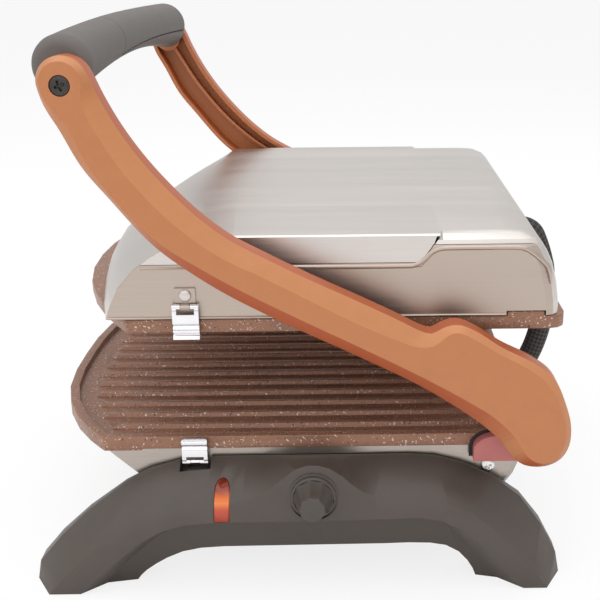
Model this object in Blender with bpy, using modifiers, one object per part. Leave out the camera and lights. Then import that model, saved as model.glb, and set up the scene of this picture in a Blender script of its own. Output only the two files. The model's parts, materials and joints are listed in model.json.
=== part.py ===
"""Countertop sandwich maker with a floating upper plate, two bent arms and a cross grip.

Metres, +Z up. +X runs from the grip and front to the hinge and rear, -Y is the side with
the control knob. The machine is modelled about its own mid plane and the middle of its
stands, and one empty carries it to the origin of the drawing.
"""

import math

import bmesh
import bpy
from mathutils import Matrix, Vector

# Fits that all pieces share
gap = 0.0003
overrun = 0.004
seat_overlap = 0.0008
weld = 0.00002
flat_degrees = 0.05
knuckle_sides = 8
small_sides = 12
bore_sides = 16
rivet_sides = 20
seat_sides = 32
lens_top_steps = 8
sharpest_share = 0.5

# Plates
plate_half_width = 0.1325
plate_front_x = -0.108
plate_bow = 0.041
plate_bow_power_share = 2.9
plate_rear_x = 0.1305
plate_corner = 0.009
rim_bottom_z = 0.0755
rim_height = 0.0074
rim_width = 0.0055
plate_floor = 0.0032
rib_count = 15
rib_width = 0.0050
rib_height = 0.0026
rib_end_margin = 0.010
rib_crest_share = 0.5
closed_gap = 0.0010
upper_rim_z = 0.1445
upper_front_x = -0.1045
upper_bow = 0.0425
upper_bow_power_share = 2.2
upper_rear_x = 0.1327
tab_front_x = 0.1150
tab_rear_x = 0.1351
tab_rise = 0.0026
tab_thickness = 0.0016
front_block_x = -0.087
front_block_drop = 0.0009

# Hinge and lid pivot
hinge_x = 0.1285
hinge_z = 0.100
lid_pin_x = 0.020
lid_pin_z = 0.158
hinge_pin_radius = 0.0050
hinge_collar_radius = 0.0080
lid_pin_radius = 0.0040
lid_collar_radius = 0.0062
lid_ring_radius = 0.0051
lid_pin_reach = 0.0060
bore_clearance = 0.0004

# Stands
stand_front_x = -0.1493
stand_rear_x = 0.148
stand_top_z = 0.0705
stand_clearance = 0.0010
stand_depth = 0.0285
stand_lift = 0.0004
bump_x = 0.0094
bump_rise = 0.0209
bump_half = 0.0226
bump_power_share = 2.5
bump_front_steps = 5
bump_rear_steps = 9
lamp_chamber_width = 0.0120
pocket_wall = 0.0052
pocket_floor_wall = 0.0095
chamber_top_wall = 0.0040
foot_radius = 0.0075
foot_thickness = 0.0024
foot_set_out = 0.0080

# Lower housing
housing_wall = 0.0010
housing_bottom_z = 0.031
housing_top_z = 0.0752
housing_set_in = 0.0017
cover_thickness = 0.0025

# Heaters
element_radius = 0.0033
element_front_x = -0.082
element_rear_x = 0.095
element_half_y = 0.092
element_bend = 0.018
reflector_thickness = 0.0008
reflector_front_x = -0.084
reflector_bow = 0.030
reflector_rear_x = 0.116
reflector_set_in = 0.0085
fuse_radius = 0.0030
fuse_length = 0.020
terminal_size = (0.036, 0.044, 0.014)
terminal_x = 0.070

# Knob, thermostat and lamp
knob_z = 0.0585
knob_seat_set_in = 0.0018
knob_seat_radius = 0.0136
knob_radius = 0.0125
knob_root_radius = 0.0112
knob_tip_radius = 0.0080
knob_height = 0.0150
knob_skirt = 0.0022
knob_flutes = 9
knob_flute_depth = 0.0011
knob_flute_shares = (1.0, 1.0, 0.8, 0.6)
knob_shoulder_share = 0.85
knob_bore_depth = 0.0100
shaft_radius = 0.0030
thermostat_width = 0.030
thermostat_height = 0.0140
thermostat_set_in = 0.0167
thermostat_depth = 0.0085
thermostat_bush_radius = 0.0045
lens_x = -0.0409
lens_width = 0.0078
lens_bottom_z = 0.0447
lens_top_z = 0.0631
lens_proud = 0.0005
lens_thickness = 0.0070
lamp_radius = 0.0024
lamp_length = 0.010

# Arms
arm_clearance = 0.0110
arm_thickness = 0.016
arm_side = 0.0028
arm_web = 0.0045
arm_rib_half = 0.0010
arm_rib_setback = 0.0035
arm_bevel_depth = 0.0042
arm_bevel_width = 0.0080
grip_end_radius = 0.0127
grip_end_shift_x = 0.0003
grip_end_rise = 0.0011
hinge_boss_radius = 0.0100
lid_boss_radius = 0.0080
grip_boss_radius = 0.0090

# Grip
grip_x = -0.1056
grip_z = 0.2792
sleeve_shift_x = -0.0018
sleeve_rise = 0.0088
sleeve_end_radius = 0.0141
sleeve_mid_radius = 0.0130
sleeve_arch = 0.0048
sleeve_end_round = 0.0015
bar_radius = 0.0038
bar_arch = 0.0085
sleeve_sides = 18
bar_resolution = 1
boss_sides = 16
insert_front_y = -0.0570
insert_level_share = 0.25
screw_radius = 0.0022
screw_head_radius = 0.0048
screw_head_height = 0.0016
screw_length = 0.030

# Lid
lid_set_out = 0.0005
lid_front_x = -0.1005
lid_bow = 0.0235
lid_bow_power_share = 1.5
lid_rear_x = 0.1435
lid_corner = 0.008
lid_bottom_z = 0.1524
lid_top_z = 0.1980
lid_wall = 0.0011
panel_thickness = 0.0013
flap_bottom_z = 0.1825
flap_end_x = 0.0681
flap_slant = 0.0105
flap_top_z = 0.1968
slit_width = 0.0006
rear_seam_z = 0.1920
bead_radius = 0.0007
bead_drop = 0.0018
bead_bend_x = 0.1239
bead_end_x = 0.1362
bead_end_z = 0.1790
bead_start_share = 0.80

# Hinge brackets, with a pad behind each and a screw through both
bracket_set_out = 0.0010
bracket_thickness = 0.0062
bracket_front_x = 0.0980
bracket_top_z = 0.0845
bracket_bottom_z = 0.0690
bracket_rear_x = 0.1380
bracket_round = 0.0045
bracket_lug_radius = 0.0095
bracket_shoulder = 0.0165
bracket_screw_x = 0.1071
bracket_screw_z = 0.0626
bracket_screw_radius = 0.0018
bracket_head_radius = 0.0038
bracket_screw_reach = 0.0060
bracket_bow_z = 0.0757
bow_steps = 6
lug_start = 165
lug_finish = -15
lug_steps = 10
pad_margin = 0.0015
pad_border = 0.0020

# Plate release clips
upper_clip_x = -0.0572
lower_clip_x = -0.0570
clip_width = 0.0142
clip_sheet = 0.0010
clip_out = 0.0027
knuckle_radius = 0.0017
clip_pin_radius = 0.0008
clip_centre_width = 0.0048
clip_roll_radius = 0.0015
leaf_width = 0.0110
leaf_thickness = 0.0008
upper_clip_pivot_z = 0.1600
upper_clip_free_z = 0.1424
upper_leaf_top_z = 0.1700
lower_clip_pivot_z = 0.0690
lower_clip_free_z = 0.0844
lower_leaf_bottom_z = 0.0615
rivet_radius = 0.0033
rivet_height = 0.0011
rivet_z = 0.1660
detent_depth = 0.0016
detent_height = 0.0018
detent_width = 0.0070
detent_share = 0.45
ear_share = 1.3
clip_notch_margin = 0.0016

# Braided conduit from the lid to the base, and the cord's inlet
conduit_radius = 0.0070
conduit_lead = 0.0042
gland_radius = 0.0082
gland_reach = 0.0040
lid_gland_z = 0.1672
lid_gland_reach = 0.0005
base_gland_z = 0.0490
inlet_y = 0.058
inlet_z = 0.0470
inlet_radius = 0.0062
inlet_bore = 0.0036
conduit_rear_x = 0.1658

finishes = {
    "brushed_steel": ((0.60, 0.58, 0.56), 0.32, 1.0),
    "polished_steel": ((0.58, 0.52, 0.47), 0.22, 1.0),
    "nonstick": ((0.20, 0.13, 0.10), 0.45, 0.2),
    "charcoal": ((0.075, 0.065, 0.058), 0.55, 0.0),
    "soft_charcoal": ((0.085, 0.078, 0.072), 0.75, 0.0),
    "copper_paint": ((0.56, 0.25, 0.12), 0.38, 0.3),
    "pink_moulding": ((0.50, 0.16, 0.16), 0.45, 0.0),
    "black": ((0.02, 0.02, 0.02), 0.6, 0.0),
    "nickel": ((0.75, 0.74, 0.76), 0.18, 1.0),
    "dark_steel": ((0.05, 0.045, 0.04), 0.4, 0.8),
    "amber": ((0.9, 0.20, 0.02), 0.15, 0.0),
    "element": ((0.12, 0.11, 0.11), 0.5, 0.9),
    "aluminium": ((0.62, 0.62, 0.62), 0.4, 1.0),
    "rubber": ((0.03, 0.03, 0.03), 0.85, 0.0),
    "braid": ((0.03, 0.028, 0.026), 0.9, 0.0),
    "ceramic": ((0.75, 0.70, 0.62), 0.6, 0.0),
}

# How far the lid sinks and moves forward as the plates close about the hinge
lid_drop = upper_rim_z - rim_bottom_z - rim_height - closed_gap
pin_reach = math.hypot(lid_pin_x - hinge_x, lid_pin_z - hinge_z)
pin_closed_rise = lid_pin_z - hinge_z - lid_drop
lid_shift = math.sqrt(pin_reach**2 - pin_closed_rise**2) - (hinge_x - lid_pin_x)
press_angle = math.asin((lid_pin_z - hinge_z) / pin_reach) - math.asin(pin_closed_rise / pin_reach)
print(f"lid drop {lid_drop:.4f}, lid shift {lid_shift:.4f}, press {math.degrees(press_angle):.2f} degrees")

rim_top_z = rim_bottom_z + rim_height
upper_back_z = upper_rim_z + rim_height

# Places across the machine, all from the plates' half width
housing_half_width = plate_half_width - housing_set_in
reflector_half_width = plate_half_width - reflector_set_in
lid_half_width = plate_half_width + lid_set_out
stand_inner_y = plate_half_width - stand_clearance
stand_face_y = stand_inner_y + stand_depth
foot_y = stand_inner_y + foot_set_out
bracket_inner_y = plate_half_width + bracket_set_out
arm_inner_y = lid_half_width + arm_clearance
arm_face_y = arm_inner_y + arm_thickness
knob_x = bump_x
knob_seat_y = stand_face_y - knob_seat_set_in
thermostat_front_y = knob_seat_y - thermostat_set_in


def clear_scene():
    for leftover in list(bpy.data.objects):
        bpy.data.objects.remove(leftover, do_unlink=True)


def collection(name):
    made = bpy.data.collections.new(name)
    bpy.context.scene.collection.children.link(made)
    return made


clear_scene()
parts = collection("sandwich_maker")
cutters = collection("cutters")
axis_places = {}


def axis_empty(name, place, parent=None):
    """An empty on a joint's axis, or the machine's own, that carries the pieces which turn."""
    made = bpy.data.objects.new(name, None)
    made.parent = parent
    above = axis_places[parent.name] if parent else Vector((0, 0, 0))
    made.location = Vector(place) - above
    axis_places[name] = Vector(place) if parent else above
    parts.objects.link(made)
    return made


machine = axis_empty(
    "machine",
    (
        -(stand_front_x + conduit_rear_x) / 2,
        (knob_seat_y + gap + knob_height - stand_face_y) / 2,
        0,
    ),
)
hinge_axis = axis_empty("hinge_axis", (hinge_x, 0, hinge_z), machine)
lid_axis = axis_empty("lid_axis", (lid_pin_x, 0, lid_pin_z), hinge_axis)
knob_axis = axis_empty("knob_axis", (knob_x, -knob_seat_y, knob_z), machine)


def material(name, finish):
    """A material of the piece's own, in the colour of its finish."""
    colour, rough, metal = finishes[finish]
    made = bpy.data.materials.new(name)
    made.use_nodes = True
    shader = made.node_tree.nodes["Principled BSDF"]
    shader.inputs["Base Color"].default_value = (*colour, 1)
    shader.inputs["Roughness"].default_value = rough
    shader.inputs["Metallic"].default_value = metal
    made.diffuse_color = (*colour, 1)
    return made


def piece(name, mesh, finish, parent=machine):
    """A named piece. Its mesh is drawn in the machine's own place and moved to its parent's."""
    made = bpy.data.objects.new(name, mesh)
    made.parent = parent
    mesh.transform(Matrix.Translation(-axis_places[parent.name]))
    parts.objects.link(made)
    mesh.materials.clear()
    mesh.materials.append(material(name, finish))
    return made


def mesh_of(bm):
    bmesh.ops.recalc_face_normals(bm, faces=bm.faces)
    mesh = bpy.data.meshes.new("mesh")
    bm.to_mesh(mesh)
    bm.free()
    return mesh


def evaluated_mesh(made):
    bpy.context.view_layer.update()
    graph = bpy.context.evaluated_depsgraph_get()
    return bpy.data.meshes.new_from_object(made.evaluated_get(graph))


def applied(made):
    """The piece with its modifiers worked into its mesh."""
    mesh = evaluated_mesh(made)
    made.modifiers.clear()
    made.data = mesh
    return made


def curve_mesh(curve):
    """A curve as a mesh whose caps are welded to its sides."""
    holder = bpy.data.objects.new("holder", curve)
    cutters.objects.link(holder)
    mesh = evaluated_mesh(holder)
    bpy.data.objects.remove(holder, do_unlink=True)
    bm = bmesh.new()
    bm.from_mesh(mesh)
    bmesh.ops.remove_doubles(bm, verts=bm.verts, dist=weld)
    return mesh_of(bm)


turns = {
    "x": Matrix(((0, 0, 1, 0), (1, 0, 0, 0), (0, 1, 0, 0), (0, 0, 0, 1))),
    "y": Matrix(((1, 0, 0, 0), (0, 0, 1, 0), (0, 1, 0, 0), (0, 0, 0, 1))),
    "z": Matrix.Identity(4),
}


def flat(outline, axis, low, high):
    """A flat outline with a thickness, which lies across an axis between two places on it."""
    curve = bpy.data.curves.new("flat", "CURVE")
    curve.dimensions = "2D"
    curve.fill_mode = "BOTH"
    curve.extrude = abs(high - low) / 2
    line = curve.splines.new("POLY")
    line.points.add(len(outline) - 1)
    for point, (a, b) in zip(line.points, outline):
        point.co = (a, b, 0, 1)
    line.use_cyclic_u = True
    mesh = curve_mesh(curve)
    mesh.transform(turns[axis] @ Matrix.Translation((0, 0, (low + high) / 2)))
    bm = bmesh.new()
    bm.from_mesh(mesh)
    return mesh_of(bm)


def loft(sections, closed_ends=(True, True)):
    """Faces between unlike sections that have the same number of points."""
    bm = bmesh.new()
    rings = [[bm.verts.new(p) for p in section] for section in sections]
    for low, high in zip(rings, rings[1:]):
        for i in range(len(low)):
            j = (i + 1) % len(low)
            bm.faces.new((low[i], low[j], high[j], high[i]))
    for ring, filled in zip((rings[0], rings[-1]), closed_ends):
        if filled:
            bm.faces.new(ring)
    return mesh_of(bm)


def box(low, high):
    bm = bmesh.new()
    bmesh.ops.create_cube(bm, size=1)
    bmesh.ops.scale(bm, vec=[abs(b - a) for a, b in zip(low, high)], verts=bm.verts)
    bmesh.ops.translate(bm, vec=[(a + b) / 2 for a, b in zip(low, high)], verts=bm.verts)
    return mesh_of(bm)


def rod(radius, start, end, sides=14):
    """A cylinder between two points."""
    start, end = Vector(start), Vector(end)
    bm = bmesh.new()
    bmesh.ops.create_cone(
        bm,
        cap_ends=True,
        segments=sides,
        radius1=radius,
        radius2=radius,
        depth=(end - start).length,
    )
    turn = (end - start).to_track_quat("Z", "Y").to_matrix().to_4x4()
    bmesh.ops.transform(bm, matrix=Matrix.Translation((start + end) / 2) @ turn, verts=bm.verts)
    return mesh_of(bm)


def turned(profile, start, axis, steps=32):
    """A profile of radius and distance, turned about an axis from a starting point."""
    mesh = bpy.data.meshes.new("turned")
    edges = [(i, i + 1) for i in range(len(profile) - 1)]
    mesh.from_pydata([(radius, 0, along) for radius, along in profile], edges, [])
    holder = bpy.data.objects.new("holder", mesh)
    cutters.objects.link(holder)
    screw = holder.modifiers.new("turn", "SCREW")
    screw.steps = steps
    screw.render_steps = steps
    screw.use_merge_vertices = True
    screw.merge_threshold = weld
    mesh = evaluated_mesh(holder)
    bpy.data.objects.remove(holder, do_unlink=True)
    turn = Vector(axis).to_track_quat("Z", "Y").to_matrix().to_4x4()
    mesh.transform(Matrix.Translation(start) @ turn)
    bm = bmesh.new()
    bm.from_mesh(mesh)
    bmesh.ops.remove_doubles(bm, verts=bm.verts, dist=weld)
    return mesh_of(bm)


def tube(points, radius, resolution=2):
    """A round bar along a route, with filled ends."""
    curve = bpy.data.curves.new("tube", "CURVE")
    curve.dimensions = "3D"
    curve.bevel_depth = radius
    curve.bevel_resolution = resolution
    curve.use_fill_caps = True
    line = curve.splines.new("POLY")
    line.points.add(len(points) - 1)
    for point, place in zip(line.points, points):
        point.co = (*place, 1)
    return curve_mesh(curve)


def spline(points, steps):
    """Points on a smooth curve through the given ones."""
    points = [Vector(p) for p in points]
    ends = [2 * points[0] - points[1], *points, 2 * points[-1] - points[-2]]
    out = []
    for a, b, c, d in zip(ends, ends[1:], ends[2:], ends[3:]):
        for k in range(steps):
            t = k / steps
            bend = (2 * a - 5 * b + 4 * c - d) * t**2 + (3 * b - a - 3 * c + d) * t**3
            out.append((2 * b + (c - a) * t + bend) / 2)
    out.append(points[-1])
    return out


def combine(made, mesh, operation):
    """Works a mesh, drawn in the machine's own place, into a piece."""
    mesh.transform(Matrix.Translation(-axis_places[made.parent.name]))
    tool = bpy.data.objects.new("cutter", mesh)
    tool.parent = made.parent
    tool.hide_render = True
    tool.display_type = "WIRE"
    cutters.objects.link(tool)
    step = made.modifiers.new("combine", "BOOLEAN")
    step.operation = operation
    step.object = tool
    step.solver = "EXACT"
    applied(made)
    bpy.data.objects.remove(tool, do_unlink=True)
    return made


def cut(made, *meshes):
    for mesh in meshes:
        combine(made, mesh, "DIFFERENCE")
    return made


def join(made, *meshes):
    for mesh in meshes:
        combine(made, mesh, "UNION")
    return made


def keep_inside(made, mesh):
    return combine(made, mesh, "INTERSECT")


def rounded(made, width, segments=2, angle=35):
    step = made.modifiers.new("edges", "BEVEL")
    step.width = width
    step.segments = segments
    step.limit_method = "ANGLE"
    step.angle_limit = math.radians(angle)
    return applied(made)


def smooth(made, angle=35):
    """Merges the faces that lie in one plane and shades the piece smooth between its edges."""
    bm = bmesh.new()
    bm.from_mesh(made.data)
    bmesh.ops.dissolve_limit(bm, angle_limit=math.radians(flat_degrees), verts=bm.verts, edges=bm.edges)
    bm.to_mesh(made.data)
    bm.free()
    made.data.shade_smooth()
    made.data.set_sharp_from_angle(angle=math.radians(angle))
    return made


def shell(name, sections, closed_ends, wall, finish, parent):
    """A sheet that follows open sections, thickened inwards."""
    made = piece(name, loft(sections, closed_ends), finish, parent)
    step = made.modifiers.new("wall", "SOLIDIFY")
    step.thickness = wall
    step.offset = -1
    step.use_even_offset = True
    return applied(made)


def trim(made, low_z, high_z):
    """Cuts a sheet's edges level, where its thickness leans over them."""
    reach = stand_face_y + conduit_rear_x
    below = box((-reach, -reach, low_z - overrun), (reach, reach, low_z))
    above = box((-reach, -reach, high_z), (reach, reach, high_z + overrun))
    return cut(made, below, above)


def on_side(mesh, side):
    """A mesh drawn on the near side, or its mirror image on the far side."""
    if side == "near":
        return mesh
    bm = bmesh.new()
    bm.from_mesh(mesh)
    bmesh.ops.scale(bm, vec=(1, -1, 1), verts=bm.verts)
    return mesh_of(bm)


sides = ("near", "far")

# Plan outline that plates, housing and lid share: a bowed front, straight sides and a
# straight rear with rounded corners
front_steps = 14
corner_steps = 3


def plan(front_x, bow, power, rear_x, half_width, corner):
    points = []
    for i in range(front_steps + 1):
        share = math.sin(math.pi * (i / front_steps - 0.5))
        reach = 1 - abs(share) ** power
        points.append((front_x - bow * reach, half_width * share))
    for side in (1, -1):
        for k in range(corner_steps + 1):
            step = k if side == 1 else corner_steps - k
            angle = math.pi / 2 * step / corner_steps
            x = rear_x - corner + corner * math.sin(angle)
            y = half_width - corner + corner * math.cos(angle)
            points.append((x, side * y))
    return points


def level_ring(level, z):
    return [(x, y, z) for x, y in plan(*level)]


def set_in(level, inset):
    """The same plan, smaller all round."""
    front_x, bow, power, rear_x, half_width, corner = level
    return (
        front_x + inset / 2,
        bow - inset / 2,
        power,
        rear_x - inset,
        half_width - inset,
        corner - inset / 2,
    )


# Cast plates


def rib_mesh(level, floor_z, side):
    """Ribs from front to rear, with sloping ends, as one mesh to join to a plate."""
    front_x, bow, power, rear_x, half_width, _ = level
    pitch = 2 * (half_width - rim_width) / (rib_count + 1)
    bm = bmesh.new()
    for i in range(rib_count):
        y = (i - (rib_count - 1) / 2) * pitch
        reach = bow * (1 - (abs(y) / half_width) ** power)
        start = front_x - reach + rim_width + rib_end_margin
        end = rear_x - rim_width - rib_end_margin
        rings = []
        for z, half, lead in (
            (floor_z - side * seat_overlap, rib_width / 2, 0),
            (floor_z + side * rib_height, rib_width / 2 * rib_crest_share, 2 * rib_height),
        ):
            corners = [(start + lead, y - half), (end - lead, y - half)]
            corners += [(end - lead, y + half), (start + lead, y + half)]
            rings.append([bm.verts.new((a, b, z)) for a, b in corners])
        for j in range(4):
            k = (j + 1) % 4
            bm.faces.new((rings[0][j], rings[0][k], rings[1][k], rings[1][j]))
        bm.faces.new(rings[0])
        bm.faces.new(rings[1])
    return mesh_of(bm)


def cast_plate(name, level, rim_z, side, parent):
    """A rim round a ribbed floor. Side is 1 for a plate that faces up, -1 for one facing down."""
    back_z = rim_z - side * rim_height
    floor_z = back_z + side * plate_floor
    made = piece(name, flat(plan(*level), "z", *sorted((rim_z, back_z))), "nonstick", parent)
    well = plan(*set_in(level, rim_width))
    cut(made, flat(well, "z", *sorted((floor_z, rim_z + side * overrun))))
    join(made, rib_mesh(level, floor_z, side))
    return made


def detent_slots(made, clip_x, z):
    """Slots in the rim's sides, where the release clips catch."""
    half = detent_width / 2 + bore_clearance
    tall = detent_height / 2 + bore_clearance
    for side in (-1, 1):
        inner = side * (plate_half_width - detent_depth)
        outer = side * (plate_half_width + overrun)
        cut(
            made,
            box(
                (clip_x - half, min(inner, outer), z - tall),
                (clip_x + half, max(inner, outer), z + tall),
            ),
        )


lower_level = (
    plate_front_x,
    plate_bow,
    plate_bow_power_share,
    plate_rear_x,
    plate_half_width,
    plate_corner,
)
upper_level = (
    upper_front_x + lid_shift,
    upper_bow,
    upper_bow_power_share,
    upper_rear_x + lid_shift,
    plate_half_width,
    plate_corner,
)
lower_detent_z = rim_top_z - rim_height * detent_share
upper_detent_z = upper_rim_z + rim_height * detent_share


def make_plates():
    lower = cast_plate("lower_plate", lower_level, rim_top_z, 1, machine)
    block = box(
        (plate_front_x - plate_bow - overrun, -plate_half_width, rim_bottom_z - front_block_drop),
        (front_block_x, plate_half_width, rim_bottom_z + seat_overlap),
    )
    low, high = rim_bottom_z - front_block_drop, rim_bottom_z + seat_overlap
    front = piece("block", flat(plan(*lower_level), "z", low, high), "nonstick")
    keep_inside(front, block)
    inner = set_in(lower_level, plate_half_width - housing_half_width - gap)
    cut(front, flat(plan(*inner), "z", rim_bottom_z - overrun, rim_bottom_z + overrun))
    mesh = front.data
    bpy.data.objects.remove(front, do_unlink=True)
    join(lower, mesh)
    detent_slots(lower, lower_clip_x, lower_detent_z)
    upper = cast_plate("upper_plate", upper_level, upper_rim_z, -1, lid_axis)
    for side in (-1, 1):
        outer = side * plate_half_width
        inner = side * (plate_half_width - tab_thickness)
        join(
            upper,
            box(
                (tab_front_x, min(outer, inner), upper_back_z - seat_overlap),
                (tab_rear_x, max(outer, inner), upper_back_z + tab_rise),
            ),
        )
    detent_slots(upper, upper_clip_x, upper_detent_z)
    smooth(lower, 30)
    smooth(upper, 30)


# Lower housing: a steel pan, open above, that narrows downwards at its front and rear.
# Each level has its height, then front, bow and rear as shares of the plate's own
housing_shares = [
    (0.000, 0.470, 0.86, 0.800),
    (0.240, 0.620, 0.93, 0.873),
    (0.540, 0.785, 0.98, 0.946),
    (0.853, 0.925, 0.98, 0.988),
    (1.000, 0.965, 0.97, 0.992),
]


def housing_level(share):
    up, front, bow, rear = share
    z = housing_bottom_z + up * (housing_top_z - housing_bottom_z)
    front_values = (plate_front_x * front, plate_bow * bow, plate_bow_power_share)
    return (*front_values, plate_rear_x * rear, housing_half_width, plate_corner), z


def housing_rear_at(z):
    """How far back the pan's rear wall stands at a height."""
    levels = [housing_level(share) for share in housing_shares]
    for (low, low_z), (high, high_z) in zip(levels, levels[1:]):
        if z <= high_z:
            return low[3] + (high[3] - low[3]) * (z - low_z) / (high_z - low_z)
    return levels[-1][0][3]


def make_housing():
    rings = [level_ring(*housing_level(share)) for share in housing_shares]
    made = shell("lower_housing", rings, (False, False), housing_wall, "polished_steel", machine)
    trim(made, housing_bottom_z, housing_top_z)
    rear = housing_rear_at(base_gland_z)
    cut(
        made,
        rod(
            gland_radius + bore_clearance,
            (rear - overrun * 4, 0, base_gland_z),
            (rear + overrun * 4, 0, base_gland_z),
        ),
        rod(
            inlet_radius + bore_clearance,
            (rear - overrun * 4, inlet_y, inlet_z),
            (rear + overrun * 4, inlet_y, inlet_z),
        ),
    )
    for side in (-1, 1):
        cut(
            made,
            rod(
                bracket_screw_radius + bore_clearance,
                (bracket_screw_x, side * (housing_half_width + overrun), bracket_screw_z),
                (bracket_screw_x, side * (housing_half_width - overrun), bracket_screw_z),
                small_sides,
            ),
        )
    smooth(made, 25)
    level, _ = housing_level(housing_shares[0])
    top_z = housing_bottom_z - gap
    cover = piece("bottom_cover", flat(plan(*level), "z", top_z - cover_thickness, top_z), "charcoal")
    rounded(cover, cover_thickness / 4, 1, 60)


# Heaters: a bent tube against the back of each plate, and a sheet behind it


def element_route():
    """A flat double hairpin, drawn on one side of the mid plane and mirrored."""
    bend = element_bend
    half = [
        (element_rear_x, -bend),
        (element_front_x + 4 * bend, -bend),
        (element_front_x + 3 * bend, -2 * bend),
        (element_front_x + 4 * bend, -3 * bend),
        (element_rear_x - bend, -3 * bend),
        (element_rear_x, -4 * bend),
        (element_rear_x - bend, -element_half_y),
        (element_front_x + 2 * bend, -element_half_y),
        (element_front_x + bend / 2, -element_half_y + bend),
        (element_front_x, -2 * bend),
    ]
    return half


def make_heater(name, back_z, side, shift, parent):
    """Side is -1 for the heater under the lower plate, 1 for the one over the upper plate."""
    element_z = back_z + side * (gap + element_radius)
    half = element_route()
    route = half[1:] + [(x, -y) for x, y in reversed(half[1:])]
    points = spline([(x + shift, y, element_z) for x, y in route], 2)
    made = piece(f"{name}_heating_element", tube(points, element_radius, 1), "element", parent)
    smooth(made)
    sheet_z = element_z + side * (gap + element_radius)
    level = (
        reflector_front_x + shift,
        reflector_bow,
        plate_bow_power_share,
        reflector_rear_x + shift,
        reflector_half_width,
        plate_corner,
    )
    low, high = sorted((sheet_z, sheet_z + side * reflector_thickness))
    piece(f"{name}_reflector", flat(plan(*level), "z", low, high), "aluminium", parent)
    return high


# Stands: an arch lofted along its own path. Each long edge is the arch seen from the side,
# from the front foot to the rear foot, as shares of the stand's half length, of its height
# and of its face's distance from the mid plane
edge_shares = {
    "crown": [
        (-1.000, 0.000, 0.894), (-0.985, 0.164, 0.894), (-0.907, 0.358, 0.891), (-0.793, 0.578, 0.871),
        (-0.647, 0.806, 0.851), (-0.560, 0.903, 0.843), (-0.440, 0.978, 0.836), (-0.320, 1.000, 0.834),
        (0.000, 1.000, 0.834), (0.420, 1.000, 0.834), (0.520, 0.986, 0.836), (0.620, 0.928, 0.841),
        (0.730, 0.831, 0.849), (0.845, 0.652, 0.865), (0.926, 0.423, 0.885), (0.985, 0.177, 0.894),
        (1.000, 0.000, 0.894),
    ],
    "ridge": [
        (-0.930, 0.000, 1.000), (-0.887, 0.107, 1.000), (-0.820, 0.248, 0.995), (-0.733, 0.416, 0.990),
        (-0.660, 0.543, 0.984), (-0.570, 0.661, 0.980), (-0.470, 0.743, 0.977), (-0.330, 0.782, 0.975),
        (0.000, 0.782, 0.975), (0.372, 0.782, 0.975), (0.470, 0.774, 0.977), (0.560, 0.732, 0.980),
        (0.649, 0.663, 0.984), (0.736, 0.509, 0.990), (0.818, 0.312, 0.995), (0.885, 0.143, 1.000),
        (0.936, 0.000, 1.000),
    ],
    "brow": [
        (-0.813, 0.000, 1.000), (-0.767, 0.093, 1.000), (-0.707, 0.213, 1.000), (-0.633, 0.355, 1.000),
        (-0.580, 0.449, 1.000), (-0.500, 0.549, 1.000), (-0.410, 0.606, 1.000), (-0.300, 0.625, 1.000),
        (0.000, 0.625, 1.000), (0.351, 0.638, 1.000), (0.450, 0.645, 1.000), (0.540, 0.611, 1.000),
        (0.610, 0.533, 1.000), (0.690, 0.381, 1.000), (0.760, 0.218, 1.000), (0.810, 0.098, 1.000),
        (0.848, 0.000, 1.000),
    ],
    "throat": [
        (-0.727, 0.000, 0.931), (-0.693, 0.086, 0.931), (-0.647, 0.197, 0.931), (-0.590, 0.313, 0.931),
        (-0.530, 0.417, 0.931), (-0.460, 0.501, 0.931), (-0.380, 0.554, 0.931), (-0.290, 0.575, 0.931),
        (0.000, 0.579, 0.931), (0.338, 0.585, 0.931), (0.430, 0.588, 0.931), (0.510, 0.554, 0.931),
        (0.570, 0.470, 0.931), (0.630, 0.334, 0.931), (0.690, 0.182, 0.931), (0.730, 0.082, 0.931),
        (0.757, 0.000, 0.931),
    ],
    "arch": [
        (-0.617, 0.000, 0.912), (-0.603, 0.040, 0.912), (-0.580, 0.087, 0.912), (-0.545, 0.140, 0.912),
        (-0.500, 0.197, 0.912), (-0.440, 0.252, 0.912), (-0.370, 0.283, 0.912), (-0.280, 0.294, 0.912),
        (0.000, 0.297, 0.912), (0.324, 0.302, 0.912), (0.420, 0.307, 0.912), (0.500, 0.302, 0.912),
        (0.560, 0.279, 0.912), (0.610, 0.218, 0.912), (0.645, 0.134, 0.912), (0.665, 0.061, 0.912),
        (0.676, 0.000, 0.912),
    ],
}
edge_names = list(edge_shares)


def edge_point(share):
    across, up, out = share
    x = across * (-stand_front_x if across < 0 else stand_rear_x)
    return Vector((x, -stand_face_y * out, stand_lift + up * (stand_top_z - stand_lift)))


def stand_edge(name, bump):
    """One long edge, finer where the ridge rises over the knob."""
    points = [edge_point(share) for share in edge_shares[name]]
    middle = len(points) // 2
    near, far = points[middle - 1], points[middle + 1]
    if bump:
        fine = [near.lerp(points[middle], t / bump_front_steps) for t in range(1, bump_front_steps)]
        after = [points[middle].lerp(far, t / bump_rear_steps) for t in range(1, bump_rear_steps)]
        points = points[:middle] + fine + [points[middle]] + after + points[middle + 1 :]
    if bump and name == "ridge":
        for point in points:
            away = abs(point.x - bump_x) / bump_half
            point.z += bump_rise * math.exp(-(away**bump_power_share))
    return points


def middle_point(name):
    """Where a long edge passes the middle of the stand."""
    return edge_point(edge_shares[name][len(edge_shares[name]) // 2])


def stand_face(z):
    """How far out the stand's middle section stands at a height between its brow and crown."""
    points = [middle_point(name) for name in ("brow", "ridge", "crown")]
    for low, high in zip(points, points[1:]):
        if z <= high.z:
            return -(low.y + (high.y - low.y) * (z - low.z) / (high.z - low.z))
    return -points[-1].y


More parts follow.
